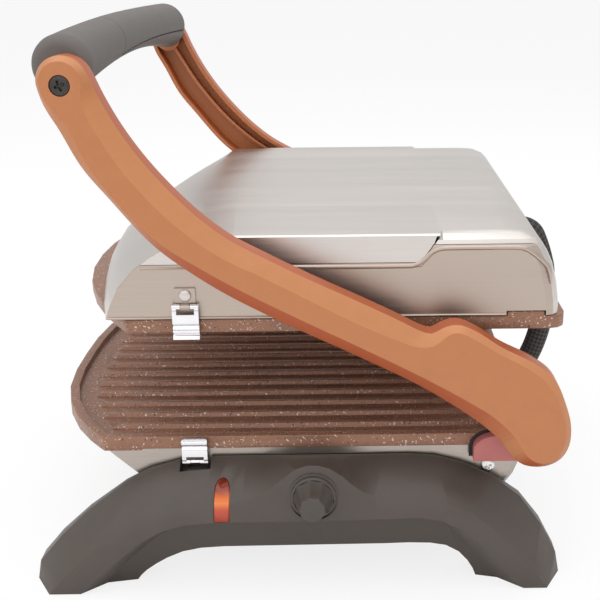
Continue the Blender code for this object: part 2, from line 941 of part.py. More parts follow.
def stand_mesh(bump):
    """The near stand's solid, between a flat inner side and five long edges."""
    edges = [stand_edge(name, bump) for name in edge_names]
    rings = []
    for points in zip(*edges):
        first, last = points[0], points[-1]
        inner = [(first.x, -stand_inner_y, first.z)]
        outer = [tuple(p) for p in points]
        rings.append(inner + outer + [(last.x, -stand_inner_y, last.z)])
    return loft(rings)


def stand_chamber(centre_x, width, top_y):
    """A chamber behind the control stand's top, which follows its outer faces."""
    at = {name: middle_point(name) for name in edge_names}
    low_z = at["arch"].z + pocket_floor_wall
    top_z = at["crown"].z - chamber_top_wall
    front_y = at["brow"].y + pocket_floor_wall
    outline = [
        (-stand_inner_y + overrun, low_z),
        (at["arch"].y + pocket_wall, low_z),
        (front_y, at["throat"].z + pocket_wall / 2),
        (front_y, at["ridge"].z - pocket_wall / 2),
        (-top_y, top_z),
        (-stand_inner_y + overrun, top_z),
    ]
    return flat(outline, "x", centre_x - width / 2, centre_x + width / 2)


def foot_places():
    """Middles of the flat under each foot."""
    arch, crown = edge_shares["arch"], edge_shares["crown"]
    front = (edge_point(arch[0]).x + edge_point(crown[0]).x) / 2
    rear = (edge_point(arch[-1]).x + edge_point(crown[-1]).x) / 2
    return {"front": front, "rear": rear}


def make_stand(name, side):
    bump = side == "near"
    made = piece(name, on_side(stand_mesh(bump), side), "charcoal")
    notch_bottom = lower_leaf_bottom_z - clip_notch_margin
    cut(
        made,
        on_side(
            box(
                (
                    lower_clip_x - clip_width / 2 - clip_notch_margin,
                    -stand_inner_y - clip_out * 3,
                    notch_bottom,
                ),
                (
                    lower_clip_x + clip_width / 2 + clip_notch_margin,
                    -stand_inner_y + overrun,
                    stand_top_z + overrun,
                ),
            ),
            side,
        ),
        on_side(
            box(
                (
                    bracket_front_x - pad_margin,
                    -bracket_inner_y - bracket_thickness - gap,
                    bracket_bottom_z - gap,
                ),
                (bracket_rear_x + overrun, -stand_inner_y + overrun, stand_top_z + overrun),
            ),
            side,
        ),
        on_side(
            rod(
                bracket_head_radius + 2 * gap,
                (bracket_screw_x, -stand_inner_y + overrun, bracket_screw_z),
                (bracket_screw_x, -stand_inner_y - screw_head_height - gap, bracket_screw_z),
            ),
            side,
        ),
    )
    for x in foot_places().values():
        cut(
            made,
            on_side(
                rod(
                    foot_radius + gap,
                    (x, -foot_y, stand_lift - overrun),
                    (x, -foot_y, foot_thickness + gap),
                ),
                side,
            ),
        )
    if bump:
        lamp_top_y = stand_face(stand_top_z - chamber_top_wall) - pocket_wall
        cut(made, stand_chamber(knob_x, thermostat_width + 2 * gap, thermostat_front_y + 2 * gap))
        cut(made, stand_chamber(lens_x, lamp_chamber_width, lamp_top_y))
        knob_seat(made)
        lens_slot(made)
    return smooth(made, 25)


def knob_seat(made):
    """A round flat for the knob in the bumped face, and the shaft's bore through it."""
    at = (knob_x, -knob_seat_y, knob_z)
    back = (knob_x, -knob_seat_y + overrun * 2, knob_z)
    front = (knob_x, -knob_seat_y - overrun * 2, knob_z)
    join(made, rod(knob_seat_radius, back, at, seat_sides))
    cut(made, rod(knob_seat_radius, at, front, seat_sides))
    inside = (knob_x, -stand_inner_y, knob_z)
    cut(made, rod(thermostat_bush_radius + gap, inside, back, bore_sides))
    cut(made, rod(shaft_radius + bore_clearance, inside, front, bore_sides))


def lens_outline(inner_add, margin):
    """The lens from the side: it bends over the ridge, a little proud of both faces."""
    top, bottom = lens_top_z + margin, lens_bottom_z - margin
    ridge_z = middle_point("ridge").z
    outer = [(-stand_face(z) - lens_proud - margin, z) for z in (bottom, ridge_z, top)]
    inner = [(y + lens_thickness + inner_add, z) for y, z in reversed(outer)]
    return outer + inner


def lens_front(margin):
    """The lens from the front: upright, with a round top."""
    half = lens_width / 2 + margin
    bottom = lens_bottom_z - margin
    centre_z = lens_top_z - lens_width / 2
    top = arc(Vector((lens_x, centre_z)), half, 0, 180, lens_top_steps)
    return [(lens_x + half, bottom), *[tuple(p) for p in top], (lens_x - half, bottom)]


def lens_mesh(inner_add, margin):
    side_view = flat(lens_outline(inner_add, margin), "x", lens_x - lens_width, lens_x + lens_width)
    holder = piece("holder", side_view, "amber")
    keep_inside(holder, flat(lens_front(margin), "y", -stand_face_y - overrun, -stand_inner_y + overrun))
    mesh = holder.data
    bpy.data.objects.remove(holder, do_unlink=True)
    return mesh


def lens_slot(made):
    cut(made, lens_mesh(overrun * 2, gap))


def make_controls():
    smooth(piece("indicator_lens", lens_mesh(0, 0), "amber"))
    lamp_y = -stand_face(knob_z) + lens_thickness + lens_proud + gap * 2 + lamp_radius + overrun / 2
    lamp_z = lens_bottom_z + lamp_length
    low, high = lamp_z - lamp_length / 2, lamp_z + lamp_length / 2
    lamp = rod(lamp_radius, (lens_x, lamp_y, low), (lens_x, lamp_y, high), small_sides)
    smooth(piece("indicator_lamp", lamp, "ceramic"))
    half_x, half_z = thermostat_width / 2, thermostat_height / 2
    body = piece(
        "thermostat",
        box(
            (knob_x - half_x, -thermostat_front_y, knob_z - half_z),
            (knob_x + half_x, -thermostat_front_y + thermostat_depth, knob_z + half_z),
        ),
        "ceramic",
    )
    bush_y = -knob_seat_y + overrun * 2 + gap
    join(
        body,
        rod(
            thermostat_bush_radius,
            (knob_x, -thermostat_front_y + seat_overlap, knob_z),
            (knob_x, bush_y, knob_z),
            bore_sides,
        ),
    )
    shaft_back = -thermostat_front_y + thermostat_depth / 2
    inside, outside = (knob_x, shaft_back, knob_z), (knob_x, bush_y - overrun, knob_z)
    cut(body, rod(shaft_radius + gap, inside, outside, bore_sides))
    inside, outside = (knob_x, shaft_back - gap, knob_z), (knob_x, -knob_seat_y - knob_bore_depth, knob_z)
    smooth(piece("knob_shaft", rod(shaft_radius, inside, outside, bore_sides), "nickel", knob_axis))
    make_knob()


def make_knob():
    """A skirt with a fluted grip that narrows to a round front."""
    steps = knob_flutes * 4
    base = -knob_seat_y - gap
    heights = (knob_skirt / 2, knob_skirt, knob_height * knob_shoulder_share, knob_height)
    radii = (knob_root_radius, knob_root_radius, knob_tip_radius, knob_tip_radius - gap * 3)
    rings = []
    for height, radius, share in zip(heights, radii, knob_flute_shares):
        depth = knob_flute_depth * share
        ring = []
        for k in range(steps):
            angle = 2 * math.pi * k / steps
            reach = radius - depth * abs(math.cos(knob_flutes * angle / 2))
            ring.append((knob_x + reach * math.cos(angle), base - height, knob_z + reach * math.sin(angle)))
        rings.append(ring)
    made = piece("control_knob", loft(rings), "charcoal", knob_axis)
    rim = knob_skirt / 3
    skirt = [(0, knob_skirt), (knob_radius - rim, knob_skirt), (knob_radius, knob_skirt - rim)]
    skirt += [(knob_radius, 0), (0, 0)]
    join(made, turned(skirt, (knob_x, base, knob_z), (0, -1, 0), steps // 2))
    cut(
        made,
        rod(
            shaft_radius + gap,
            (knob_x, base + overrun, knob_z),
            (knob_x, base - knob_bore_depth, knob_z),
            bore_sides,
        ),
    )
    smooth(made, 30)


def make_feet():
    for side in sides:
        for end, x in foot_places().items():
            mesh = rod(foot_radius, (x, -foot_y, 0), (x, -foot_y, foot_thickness))
            smooth(piece(f"foot_{end}_{side}", on_side(mesh, side), "rubber"))


# Arms: a channel moulding with a round end at the grip and a larger one at the hinge.
# The outline's points are shares of the way from the grip's screw to the hinge, of the
# screw's height over the hinge and of the bevel's full width
arm_outline_shares = [
    (0.069, 0.978, 1.00), (0.105, 0.885, 1.15), (0.147, 0.801, 1.22), (0.202, 0.713, 1.25),
    (0.259, 0.637, 1.20), (0.321, 0.572, 1.13), (0.407, 0.509, 1.04), (0.529, 0.429, 1.08),
    (0.707, 0.313, 1.10), (0.734, 0.294, 0.98), (0.761, 0.284, 0.68),
    (0.783, 0.299, 0.50), (0.805, 0.309, 0.38), (0.828, 0.308, 0.38), (0.851, 0.295, 0.40),
    (0.920, 0.237, 0.35), (0.990, 0.189, 0.42), (1.032, 0.148, 0.50), (1.067, 0.058, 0.42),
    (1.083, -0.028, 0.42), (1.080, -0.080, 0.50), (1.065, -0.119, 0.48), (1.038, -0.142, 0.42),
    (1.006, -0.148, 0.55), (0.978, -0.141, 0.75), (0.951, -0.114, 0.92), (0.927, -0.069, 1.00),
    (0.882, -0.010, 1.02), (0.833, 0.039, 0.92), (0.768, 0.096, 0.80),
    (0.575, 0.231, 0.80), (0.471, 0.298, 0.84), (0.258, 0.456, 0.76),
    (0.172, 0.543, 0.54), (0.075, 0.692, 0.36), (0.026, 0.776, 0.54),
    (-0.012, 0.875, 0.68), (-0.046, 0.966, 0.80),
]
arm_rib_shares = [
    (0.0, 1.0), (0.038, 0.915), (0.086, 0.811), (0.156, 0.695), (0.227, 0.603), (0.302, 0.530),
    (0.451, 0.421), (0.596, 0.326), (0.733, 0.232), (0.851, 0.164), (0.940, 0.075), (1.0, 0.0),
]
grip_end_steps = 9
grip_end_start = 190
grip_end_finish = -2
grip_bevel_share = 0.3


def arm_place(share):
    across, up = share
    return Vector((grip_x + across * (hinge_x - grip_x), hinge_z + up * (grip_z - hinge_z)))


def arc(centre, radius, start, end, steps):
    out = []
    for k in range(steps + 1):
        angle = math.radians(start + (end - start) * k / steps)
        out.append(Vector((centre.x + radius * math.cos(angle), centre.y + radius * math.sin(angle))))
    return out


def arm_outline():
    """The arm's outline, and for each point how wide the bevel is there."""
    points = [arm_place(share[:2]) for share in arm_outline_shares]
    widths = [share[2] * arm_bevel_width for share in arm_outline_shares]
    grip_end = Vector((grip_x + grip_end_shift_x, grip_z + grip_end_rise))
    front = arc(grip_end, grip_end_radius, grip_end_start, grip_end_finish, grip_end_steps)
    return points + front, widths + [grip_bevel_share * arm_bevel_width] * len(front)


def inset(points, widths):
    """Points moved inwards, square to the outline, each by its own width."""
    out = []
    count = len(points)
    for i in range(count):
        before, here, after = points[i - 1], points[i], points[(i + 1) % count]
        one = (here - before).normalized()
        two = (after - here).normalized()
        along = (one + two).normalized()
        normal = Vector((along.y, -along.x))
        share = max(normal.dot(Vector((one.y, -one.x))), sharpest_share)
        out.append(here + normal * widths[i] / share)
    return out


def arm_mesh():
    """The near arm, with its bosses and rib left standing in the channel behind its face."""
    points, widths = arm_outline()
    face = inset(points, widths)
    bevel_y = -arm_face_y + arm_bevel_depth
    rings = [
        [(p.x, -arm_inner_y, p.y) for p in points],
        [(p.x, bevel_y, p.y) for p in points],
        [(p.x, -arm_face_y, p.y) for p in face],
    ]
    return loft(rings)


def channel_mesh():
    points, _ = arm_outline()
    walls = inset(points, [arm_side] * len(points))
    floor_y = -arm_face_y + arm_web
    space = flat([tuple(p) for p in walls], "y", floor_y, -arm_inner_y + overrun)
    holder = piece("holder", space, "copper_paint")
    rib = [arm_place(share) for share in arm_rib_shares]
    rib = [Vector((p.x, 0, p.y)) for p in rib]
    one_side = []
    other_side = []
    for a, b in zip(rib, rib[1:] + [2 * rib[-1] - rib[-2]]):
        along = (b - a).normalized()
        across = Vector((-along.z, 0, along.x)) * arm_rib_half
        one_side.append((a.x + across.x, a.z + across.z))
        other_side.append((a.x - across.x, a.z - across.z))
    outline = one_side + list(reversed(other_side))
    cut(holder, flat(outline, "y", floor_y - overrun, -arm_inner_y - arm_rib_setback))
    for x, z, radius in (
        (hinge_x, hinge_z, hinge_boss_radius),
        (lid_pin_x, lid_pin_z, lid_boss_radius),
        (grip_x, grip_z, grip_boss_radius),
    ):
        boss = rod(radius, (x, floor_y - overrun, z), (x, -arm_inner_y + overrun * 2, z), boss_sides)
        cut(holder, boss)
    mesh = holder.data
    bpy.data.objects.remove(holder, do_unlink=True)
    return mesh


def make_arm(side):
    made = piece(f"arm_{side}", on_side(arm_mesh(), side), "copper_paint", hinge_axis)
    cut(made, on_side(channel_mesh(), side))
    blind_y = -arm_face_y + arm_web
    open_y = -arm_inner_y + overrun
    for x, z, radius in (
        (hinge_x, hinge_z, hinge_pin_radius + bore_clearance),
        (lid_pin_x, lid_pin_z, lid_pin_radius + gap),
    ):
        cut(made, on_side(rod(radius, (x, blind_y, z), (x, open_y, z)), side))
    outside = (grip_x, -arm_face_y - overrun, grip_z)
    head_seat = (grip_x, -arm_face_y + screw_head_height + gap, grip_z)
    shank = rod(screw_radius + gap, outside, (grip_x, open_y, grip_z), bore_sides)
    cut(made, on_side(shank, side), on_side(rod(screw_head_radius + gap, outside, head_seat), side))
    smooth(made, 25)


# The bar's half, as shares of its half length and of its rise
bar_shares = [(0.0, 1.0), (0.25, 0.93), (0.5, 0.68), (0.7, 0.33), (0.82, 0.06), (0.88, 0.0)]


def make_grip():
    """Steel bar between the arms, a soft arched sleeve on it, and the sleeve's underside."""
    end_y = arm_inner_y - gap
    bar = piece("handle_bar", tube(bar_route(0), bar_radius, bar_resolution), "nickel", hinge_axis)
    for side in sides:
        bore = rod(
            screw_radius + gap,
            (grip_x, -end_y - overrun, grip_z),
            (grip_x, -arm_face_y + screw_length + gap, grip_z),
            bore_sides,
        )
        cut(bar, on_side(bore, side))
    smooth(bar)
    sleeve = piece("grip_sleeve", loft(sleeve_rings()), "soft_charcoal", hinge_axis)
    insert = piece("grip_insert", loft(sleeve_rings()), "soft_charcoal", hinge_axis)
    keep_inside(insert, insert_space(0))
    cut(sleeve, insert_space(gap))
    for made in (sleeve, insert):
        cut(made, tube(bar_route(overrun), bar_radius + gap, bar_resolution))
        smooth(made, 40)
    for side in sides:
        head_y = -arm_face_y
        under_y = head_y + screw_head_height
        mesh = rod(screw_head_radius, (grip_x, head_y, grip_z), (grip_x, under_y, grip_z))
        screw = piece(f"grip_screw_{side}", on_side(mesh, side), "dark_steel", hinge_axis)
        shank = rod(
            screw_radius,
            (grip_x, under_y - seat_overlap, grip_z),
            (grip_x, head_y + screw_length, grip_z),
            bore_sides,
        )
        join(screw, on_side(shank, side))
        smooth(screw)


def bar_route(extra):
    """The bar runs level past the screws and arches up between them, under the sleeve's middle."""
    half = [(along * (arm_inner_y - gap), up * bar_arch) for along, up in bar_shares]
    half.append((arm_inner_y - gap + extra, 0))
    points = [(-y, up) for y, up in reversed(half[1:])] + half
    return [(grip_x, y, grip_z + up) for y, up in points]


def sleeve_centre(y):
    """Height of the sleeve's middle and its radius, along its length."""
    share = y / arm_inner_y
    arch = 1 - share * share
    radius = sleeve_end_radius + (sleeve_mid_radius - sleeve_end_radius) * arch
    return grip_z + sleeve_rise + sleeve_arch * arch, radius


def sleeve_rings():
    end_y = arm_inner_y - gap
    stations = [end_y * math.sin(math.pi / 2 * k / 6) for k in range(-5, 6)]
    places = [(-end_y, sleeve_end_round)] + [(y, 0) for y in stations] + [(end_y, sleeve_end_round)]
    rings = []
    for y, less in places:
        z, radius = sleeve_centre(y)
        ring = []
        for k in range(sleeve_sides):
            angle = 2 * math.pi * k / sleeve_sides
            reach = radius - less
            x = grip_x + sleeve_shift_x + reach * math.cos(angle)
            ring.append((x, y, z + reach * math.sin(angle)))
        rings.append(ring)
    return rings


def insert_space(margin):
    """The space of the sleeve's underside, which follows its arch."""
    rings = []
    end = arm_inner_y + overrun
    steps = 12
    for k in range(steps + 1):
        y = insert_front_y - margin + (end - insert_front_y + margin) * k / steps
        z, radius = sleeve_centre(min(y, arm_inner_y))
        top = z - radius * insert_level_share + margin
        low = z - 2 * radius
        left, right = grip_x - 2 * radius, grip_x + 2 * radius
        rings.append([(left, y, low), (right, y, low), (right, y, top), (left, y, top)])
    return loft(rings)


# Lid: a pressed cover whose front, top and rear are one sheet, with a panel on each side.
# Each level has its height, front, bow, rear and half width as shares of the lid's own
lid_shares = [
    (0.000, 1.000, 1.00, 1.000, 1.000),
    (0.155, 0.975, 1.00, 0.998, 1.000),
    (0.378, 0.925, 0.93, 0.988, 1.000),
    (0.600, 0.835, 0.87, 0.970, 1.000),
    (0.755, 0.740, 0.80, 0.948, 1.000),
    (0.844, 0.668, 0.71, 0.930, 1.000),
    (0.922, 0.573, 0.61, 0.905, 0.989),
    (0.978, 0.432, 0.52, 0.868, 0.966),
    (1.000, 0.302, 0.43, 0.815, 0.932),
]


def lid_ring(share):
    up, front, bow, rear, half = share
    front_values = (lid_front_x * front, lid_bow * bow, lid_bow_power_share)
    level = (*front_values, lid_rear_x * rear, lid_half_width * half, lid_corner)
    return level_ring(level, lid_bottom_z + up * (lid_top_z - lid_bottom_z))


def lid_rear_at(z):
    up = (z - lid_bottom_z) / (lid_top_z - lid_bottom_z)
    for low, high in zip(lid_shares, lid_shares[1:]):
        if up <= high[0]:
            t = (up - low[0]) / (high[0] - low[0])
            return lid_rear_x * (low[3] + (high[3] - low[3]) * t)
    return lid_rear_x * lid_shares[-1][3]


def lid_sheet(name):
    rings = [lid_ring(share) for share in lid_shares]
    made = shell(name, rings, (False, True), lid_wall, "brushed_steel", lid_axis)
    return trim(made, lid_bottom_z, lid_top_z)


def flap_x_at(z):
    """Where the flap's slanting end is at a height."""
    return flap_end_x + flap_slant * (z - flap_bottom_z) / (flap_top_z - flap_bottom_z)


def flap_slit():
    """The slit that parts the flap's end from the cover's rear half, up to the top's edge."""
    low_z = rear_seam_z - gap
    outline = [
        (flap_x_at(low_z) - slit_width / 2, low_z),
        (flap_x_at(low_z) + slit_width / 2, low_z),
        (flap_x_at(flap_top_z) + slit_width / 2, flap_top_z),
        (flap_x_at(flap_top_z) - slit_width / 2, flap_top_z),
    ]
    return flat(outline, "y", -lid_half_width - overrun, -lid_half_width + overrun * 2)


def panel_space(margin, inner):
    """The space of a side panel: below the cover's flap, and higher behind the flap's end."""
    front = lid_front_x - lid_bow - overrun
    rear = lid_rear_x + overrun
    outline = [
        (front, lid_bottom_z - overrun),
        (rear, lid_bottom_z - overrun),
        (rear, rear_seam_z + margin),
        (flap_x_at(rear_seam_z) - margin, rear_seam_z + margin),
        (flap_end_x - margin, flap_bottom_z + margin),
        (front, flap_bottom_z + margin),
    ]
    return flat(outline, "y", -lid_half_width - overrun, -lid_half_width + inner + margin)


def make_lid():
    cover = lid_sheet("lid_cover")
    for side in sides:
        cut(cover, on_side(panel_space(gap, panel_thickness), side), on_side(flap_slit(), side))
    z = lid_gland_z
    rear = lid_rear_at(z)
    cut(cover, rod(gland_radius + bore_clearance, (rear - overrun * 2, 0, z), (rear + overrun * 2, 0, z)))
    smooth(cover, 28)
    for side in sides:
        panel = lid_sheet(f"lid_side_{side}")
        keep_inside(panel, on_side(panel_space(0, panel_thickness), side))
        bead_y = -lid_half_width + bead_radius / 4
        start_x = lid_front_x * bead_start_share
        low_z, high_z = flap_bottom_z - bead_drop, rear_seam_z - bead_drop
        route = [
            (start_x, bead_y, low_z),
            (flap_end_x, bead_y, low_z),
            (flap_x_at(rear_seam_z) + bead_drop, bead_y, high_z),
            (bead_bend_x, bead_y, high_z),
            (bead_end_x, bead_y, bead_end_z),
        ]
        join(panel, on_side(tube(route, bead_radius, 1), side))
        pin_hole = rod(
            lid_pin_radius + bore_clearance,
            (lid_pin_x, -lid_half_width - overrun, lid_pin_z),
            (lid_pin_x, -lid_half_width + overrun, lid_pin_z),
        )
        tab_notch = box(
            (tab_front_x - gap * 2, -lid_half_width - overrun, lid_bottom_z - overrun),
            (tab_rear_x + gap * 2, -lid_half_width + overrun, upper_back_z + tab_rise + gap * 2),
        )
        cut(panel, on_side(pin_hole, side), on_side(tab_notch, side))
        smooth(panel, 28)


def make_pins():
    """Hinge pins in the brackets and arms, and lid pins between the arms and the lid."""
    for side in sides:
        start = -arm_face_y + arm_web + gap
        end = -bracket_inner_y - gap
        collar = (-arm_inner_y + gap, -bracket_inner_y - bracket_thickness - gap)
        pin = piece(
            f"hinge_pin_{side}",
            on_side(rod(hinge_pin_radius, (hinge_x, start, hinge_z), (hinge_x, end, hinge_z)), side),
            "nickel",
            hinge_axis,
        )
        ring = rod(hinge_collar_radius, (hinge_x, collar[0], hinge_z), (hinge_x, collar[1], hinge_z))
        join(pin, on_side(ring, side))
        smooth(pin)
        end = -lid_half_width + lid_pin_reach
        pin = piece(
            f"lid_pin_{side}",
            on_side(rod(lid_pin_radius, (lid_pin_x, start, lid_pin_z), (lid_pin_x, end, lid_pin_z)), side),
            "nickel",
            hinge_axis,
        )
        collar = (-arm_inner_y + gap, -lid_half_width - gap * 2)
        ring = rod(lid_collar_radius, (lid_pin_x, collar[0], lid_pin_z), (lid_pin_x, collar[1], lid_pin_z))
        inner = -lid_half_width + panel_thickness + gap
        snap_ring = rod(lid_ring_radius, (lid_pin_x, inner, lid_pin_z), (lid_pin_x, end, lid_pin_z))
        join(pin, on_side(ring, side), on_side(snap_ring, side))
        smooth(pin)


def bracket_outline():
    """A plate on the housing's side that rises to a round lug at the hinge."""
    lug = Vector((hinge_x, hinge_z))
    outline = [tuple(p) for p in bracket_bow(0)]
    outline += [tuple(p) for p in arc(lug, bracket_lug_radius, lug_start, lug_finish, lug_steps)]
    outline += [(bracket_rear_x, bracket_top_z - bracket_round)]
    outline += [(bracket_rear_x - bracket_round, bracket_bottom_z)]
    return outline


def bracket_bow(margin):
    """The bracket's bowed front edge, from its lower corner to its top, or one set outside it."""
    width = hinge_x - bracket_shoulder - bracket_front_x + margin
    height = bracket_top_z - bracket_bow_z + margin
    corner = Vector((bracket_front_x - margin, bracket_bottom_z))
    centre = Vector((hinge_x - bracket_shoulder, bracket_bow_z))
    bow = []
    for k in range(bow_steps + 1):
        angle = math.pi / 2 * k / bow_steps
        bow.append(centre + Vector((-width * math.cos(angle), height * math.sin(angle))))
    return [corner, *bow]


def make_brackets():
    outer_y = bracket_inner_y + bracket_thickness
    for side in sides:
        mesh = flat(bracket_outline(), "y", -outer_y, -bracket_inner_y)
        made = piece(f"hinge_bracket_{side}", on_side(mesh, side), "pink_moulding")
        pin = rod(
            hinge_pin_radius + bore_clearance,
            (hinge_x, -outer_y - overrun, hinge_z),
            (hinge_x, -bracket_inner_y + overrun, hinge_z),
        )
        cut(made, on_side(pin, side))
        smooth(made)
        rear_x = housing_rear_at(bracket_bottom_z) - pad_margin
        skin = [tuple(p) for p in bracket_bow(pad_border)]
        skin += [(rear_x, bracket_top_z + pad_border), (rear_x, bracket_bottom_z)]
        mesh = flat(skin, "y", -bracket_inner_y + gap, -plate_half_width - gap)
        made = piece(f"bracket_pad_{side}", on_side(mesh, side), "black")
        block = box(
            (bracket_front_x, -bracket_inner_y + gap, bracket_bottom_z),
            (rear_x, -housing_half_width - gap, rim_bottom_z - gap),
        )
        smooth(join(made, on_side(block, side)))
        under_y = -housing_half_width - gap
        x, z = bracket_screw_x, bracket_screw_z
        head = rod(bracket_head_radius, (x, under_y - screw_head_height, z), (x, under_y, z), rivet_sides)
        screw = piece(f"bracket_screw_{side}", on_side(head, side), "nickel")
        start, end = (x, under_y - seat_overlap, z), (x, under_y + bracket_screw_reach, z)
        join(screw, on_side(rod(bracket_screw_radius, start, end, small_sides), side))
        smooth(screw)


# Release clips: a fixed leaf with a middle knuckle and pin, and a clip that hangs on it


def make_clip(name, clip_x, pivot_z, free_z, wall_y, leaf_end_z, detent_z, side, parent):
    pivot_y = -(plate_half_width + clip_out)
    half = clip_width / 2
    centre = clip_centre_width / 2
    end = half - gap
    down = 1 if free_z < pivot_z else -1
    leaf_low, leaf_high = sorted((leaf_end_z, pivot_z))
    leaf = piece(
        f"{name}_clip_leaf_{side}",
        on_side(
            box(
                (clip_x - leaf_width / 2, -(wall_y + gap + leaf_thickness), leaf_low),
                (clip_x + leaf_width / 2, -(wall_y + gap), leaf_high),
            ),
            side,
        ),
        "nickel",
        parent,
    )
    slack = knuckle_radius + gap
    for sign in (-1, 1):
        inner, outer = clip_x + sign * centre, clip_x + sign * half
        cut(
            leaf,
            on_side(
                box(
                    (min(inner, outer), -wall_y - overrun * 2, pivot_z - slack),
                    (max(inner, outer), -wall_y + overrun, pivot_z + slack),
                ),
                side,
            ),
        )
    bridge = box(
        (clip_x - centre, pivot_y, pivot_z - knuckle_radius / 2),
        (clip_x + centre, -(wall_y + gap), pivot_z + knuckle_radius / 2),
    )
    join(leaf, on_side(bridge, side))
    for radius, reach in ((knuckle_radius, centre), (clip_pin_radius, end)):
        left, right = (clip_x - reach, pivot_y, pivot_z), (clip_x + reach, pivot_y, pivot_z)
        join(leaf, on_side(rod(radius, left, right, knuckle_sides), side))
    smooth(leaf)
    axis_y = pivot_y if side == "near" else -pivot_y
    turn_axis = axis_empty(f"{name}_clip_axis_{side}", (clip_x, axis_y, pivot_z), parent)
    sheet_z = (pivot_z - down * slack * ear_share, free_z + down * clip_roll_radius)
    made = piece(
        f"{name}_clip_{side}",
        on_side(
            box(
                (clip_x - half, pivot_y - clip_sheet / 2, min(sheet_z)),
                (clip_x + half, pivot_y + clip_sheet / 2, max(sheet_z)),
            ),
            side,
        ),
        "nickel",
        turn_axis,
    )
    roll_z = free_z + down * clip_roll_radius
    left, right = (clip_x - half, pivot_y, roll_z), (clip_x + half, pivot_y, roll_z)
    join(made, on_side(rod(clip_roll_radius, left, right, knuckle_sides), side))
    for sign in (-1, 1):
        inner, outer = clip_x + sign * (centre + gap), clip_x + sign * half
        knuckle = rod(knuckle_radius, (inner, pivot_y, pivot_z), (outer, pivot_y, pivot_z), knuckle_sides)
        ear = box(
            (min(inner, outer), pivot_y - clip_sheet / 2, min(pivot_z, sheet_z[0] - down * gap * 2)),
            (max(inner, outer), pivot_y + clip_sheet / 2, max(pivot_z, sheet_z[0] - down * gap * 2)),
        )
        join(made, on_side(knuckle, side), on_side(ear, side))
    pin = rod(
        clip_pin_radius + gap,
        (clip_x - half - overrun, pivot_y, pivot_z),
        (clip_x + half + overrun, pivot_y, pivot_z),
        knuckle_sides,
    )
    cut(made, on_side(pin, side))
    detent = box(
        (clip_x - detent_width / 2, pivot_y, detent_z - detent_height / 2),
        (clip_x + detent_width / 2, -(plate_half_width - detent_depth / 2), detent_z + detent_height / 2),
    )
    join(made, on_side(detent, side))
    smooth(made)


def make_clips():
    for side in sides:
        make_clip(
            "upper",
            upper_clip_x,
            upper_clip_pivot_z,
            upper_clip_free_z,
            lid_half_width,
            upper_leaf_top_z,
            upper_detent_z,
            side,
            lid_axis,
        )
        make_clip(
            "lower",
            lower_clip_x,
            lower_clip_pivot_z,
            lower_clip_free_z,
            housing_half_width,
            lower_leaf_bottom_z,
            lower_detent_z,
            side,
            machine,
        )
        rivet_y = -(lid_half_width + 2 * gap + leaf_thickness)
        rises = (0, math.pi / 6, math.pi / 3)
        dome = [(rivet_radius * math.cos(a), rivet_height * math.sin(a)) for a in rises]
        profile = [(0, rivet_height), *reversed(dome), (0, 0)]
        mesh = turned(profile, (upper_clip_x, rivet_y, rivet_z), (0, -1, 0), rivet_sides)
        smooth(piece(f"clip_rivet_{side}", on_side(mesh, side), "nickel", lid_axis))


# Conduit: out of the lid's rear, down behind the hinge and into the base


# The conduit's way between its two level ends: shares of the distance from the hinge to its
# rearmost place, and of the height from the lower gland to the upper one
conduit_shares = [
    (0.637, 0.988), (0.706, 0.972), (0.762, 0.949), (0.858, 0.888), (0.941, 0.821),
    (1.000, 0.745),
    (1.000, 0.600), (0.993, 0.474), (0.941, 0.393), (0.828, 0.296), (0.677, 0.207), (0.505, 0.118),
    (0.323, 0.038), (0.208, 0.011),
]


def conduit_route(start_x, end_x):
    """Its own route, behind the lid and the hinge."""
    reach = conduit_rear_x - conduit_radius - hinge_x
    rise = lid_gland_z - base_gland_z
    return [
        (start_x + conduit_lead / 2, 0, lid_gland_z),
        *[(hinge_x + across * reach, 0, base_gland_z + up * rise) for across, up in conduit_shares],
        (end_x + conduit_lead, 0, base_gland_z),
    ]


def gland(name, start_x, end_x, y, z, radius, parent):
    made = piece(name, rod(radius, (start_x, y, z), (end_x, y, z)), "black", parent)
    rounded(made, radius / 10, 1, 60)
    return smooth(made)


def make_conduit():
    lid_wall_x = lid_rear_at(lid_gland_z)
    base_wall_x = housing_rear_at(base_gland_z)
    inner_x, outer_x = base_wall_x - gland_reach, base_wall_x + 2 * gland_reach
    start_x = lid_wall_x + lid_gland_reach
    gland("lid_gland", start_x - 3 * gland_reach, start_x, 0, lid_gland_z, gland_radius, lid_axis)
    gland("base_gland", inner_x, outer_x, 0, base_gland_z, gland_radius, machine)
    inlet = gland("cord_inlet", inner_x, outer_x, inlet_y, inlet_z, inlet_radius, machine)
    cut(
        inlet,
        rod(
            inlet_bore,
            (base_wall_x - overrun * 4, inlet_y, inlet_z),
            (base_wall_x + overrun * 4, inlet_y, inlet_z),
            bore_sides,
        ),
    )
    start, end = (start_x + gap, 0, lid_gland_z), (outer_x + gap, 0, base_gland_z)
    points = [start, *spline(conduit_route(start[0], end[0]), 2), end]
    smooth(piece("braided_conduit", tube(points, conduit_radius, 2), "braid"))


def make_wiring():
    """Terminal block on the bottom cover, and the lid's thermal fuse on its reflector."""
    long, wide, tall = terminal_size
    piece(
        "terminal_block",
        box(
            (terminal_x - long / 2, -wide / 2, housing_bottom_z),
            (terminal_x + long / 2, wide / 2, housing_bottom_z + tall),
        ),
        "ceramic",
    )


def make_fuse(sheet_top_z):
    z = sheet_top_z + gap + fuse_radius
    start_x = reflector_rear_x - fuse_length * 3
    mesh = rod(fuse_radius, (start_x, 0, z), (start_x + fuse_length, 0, z), small_sides)
    smooth(piece("thermal_fuse", mesh, "ceramic", lid_axis))


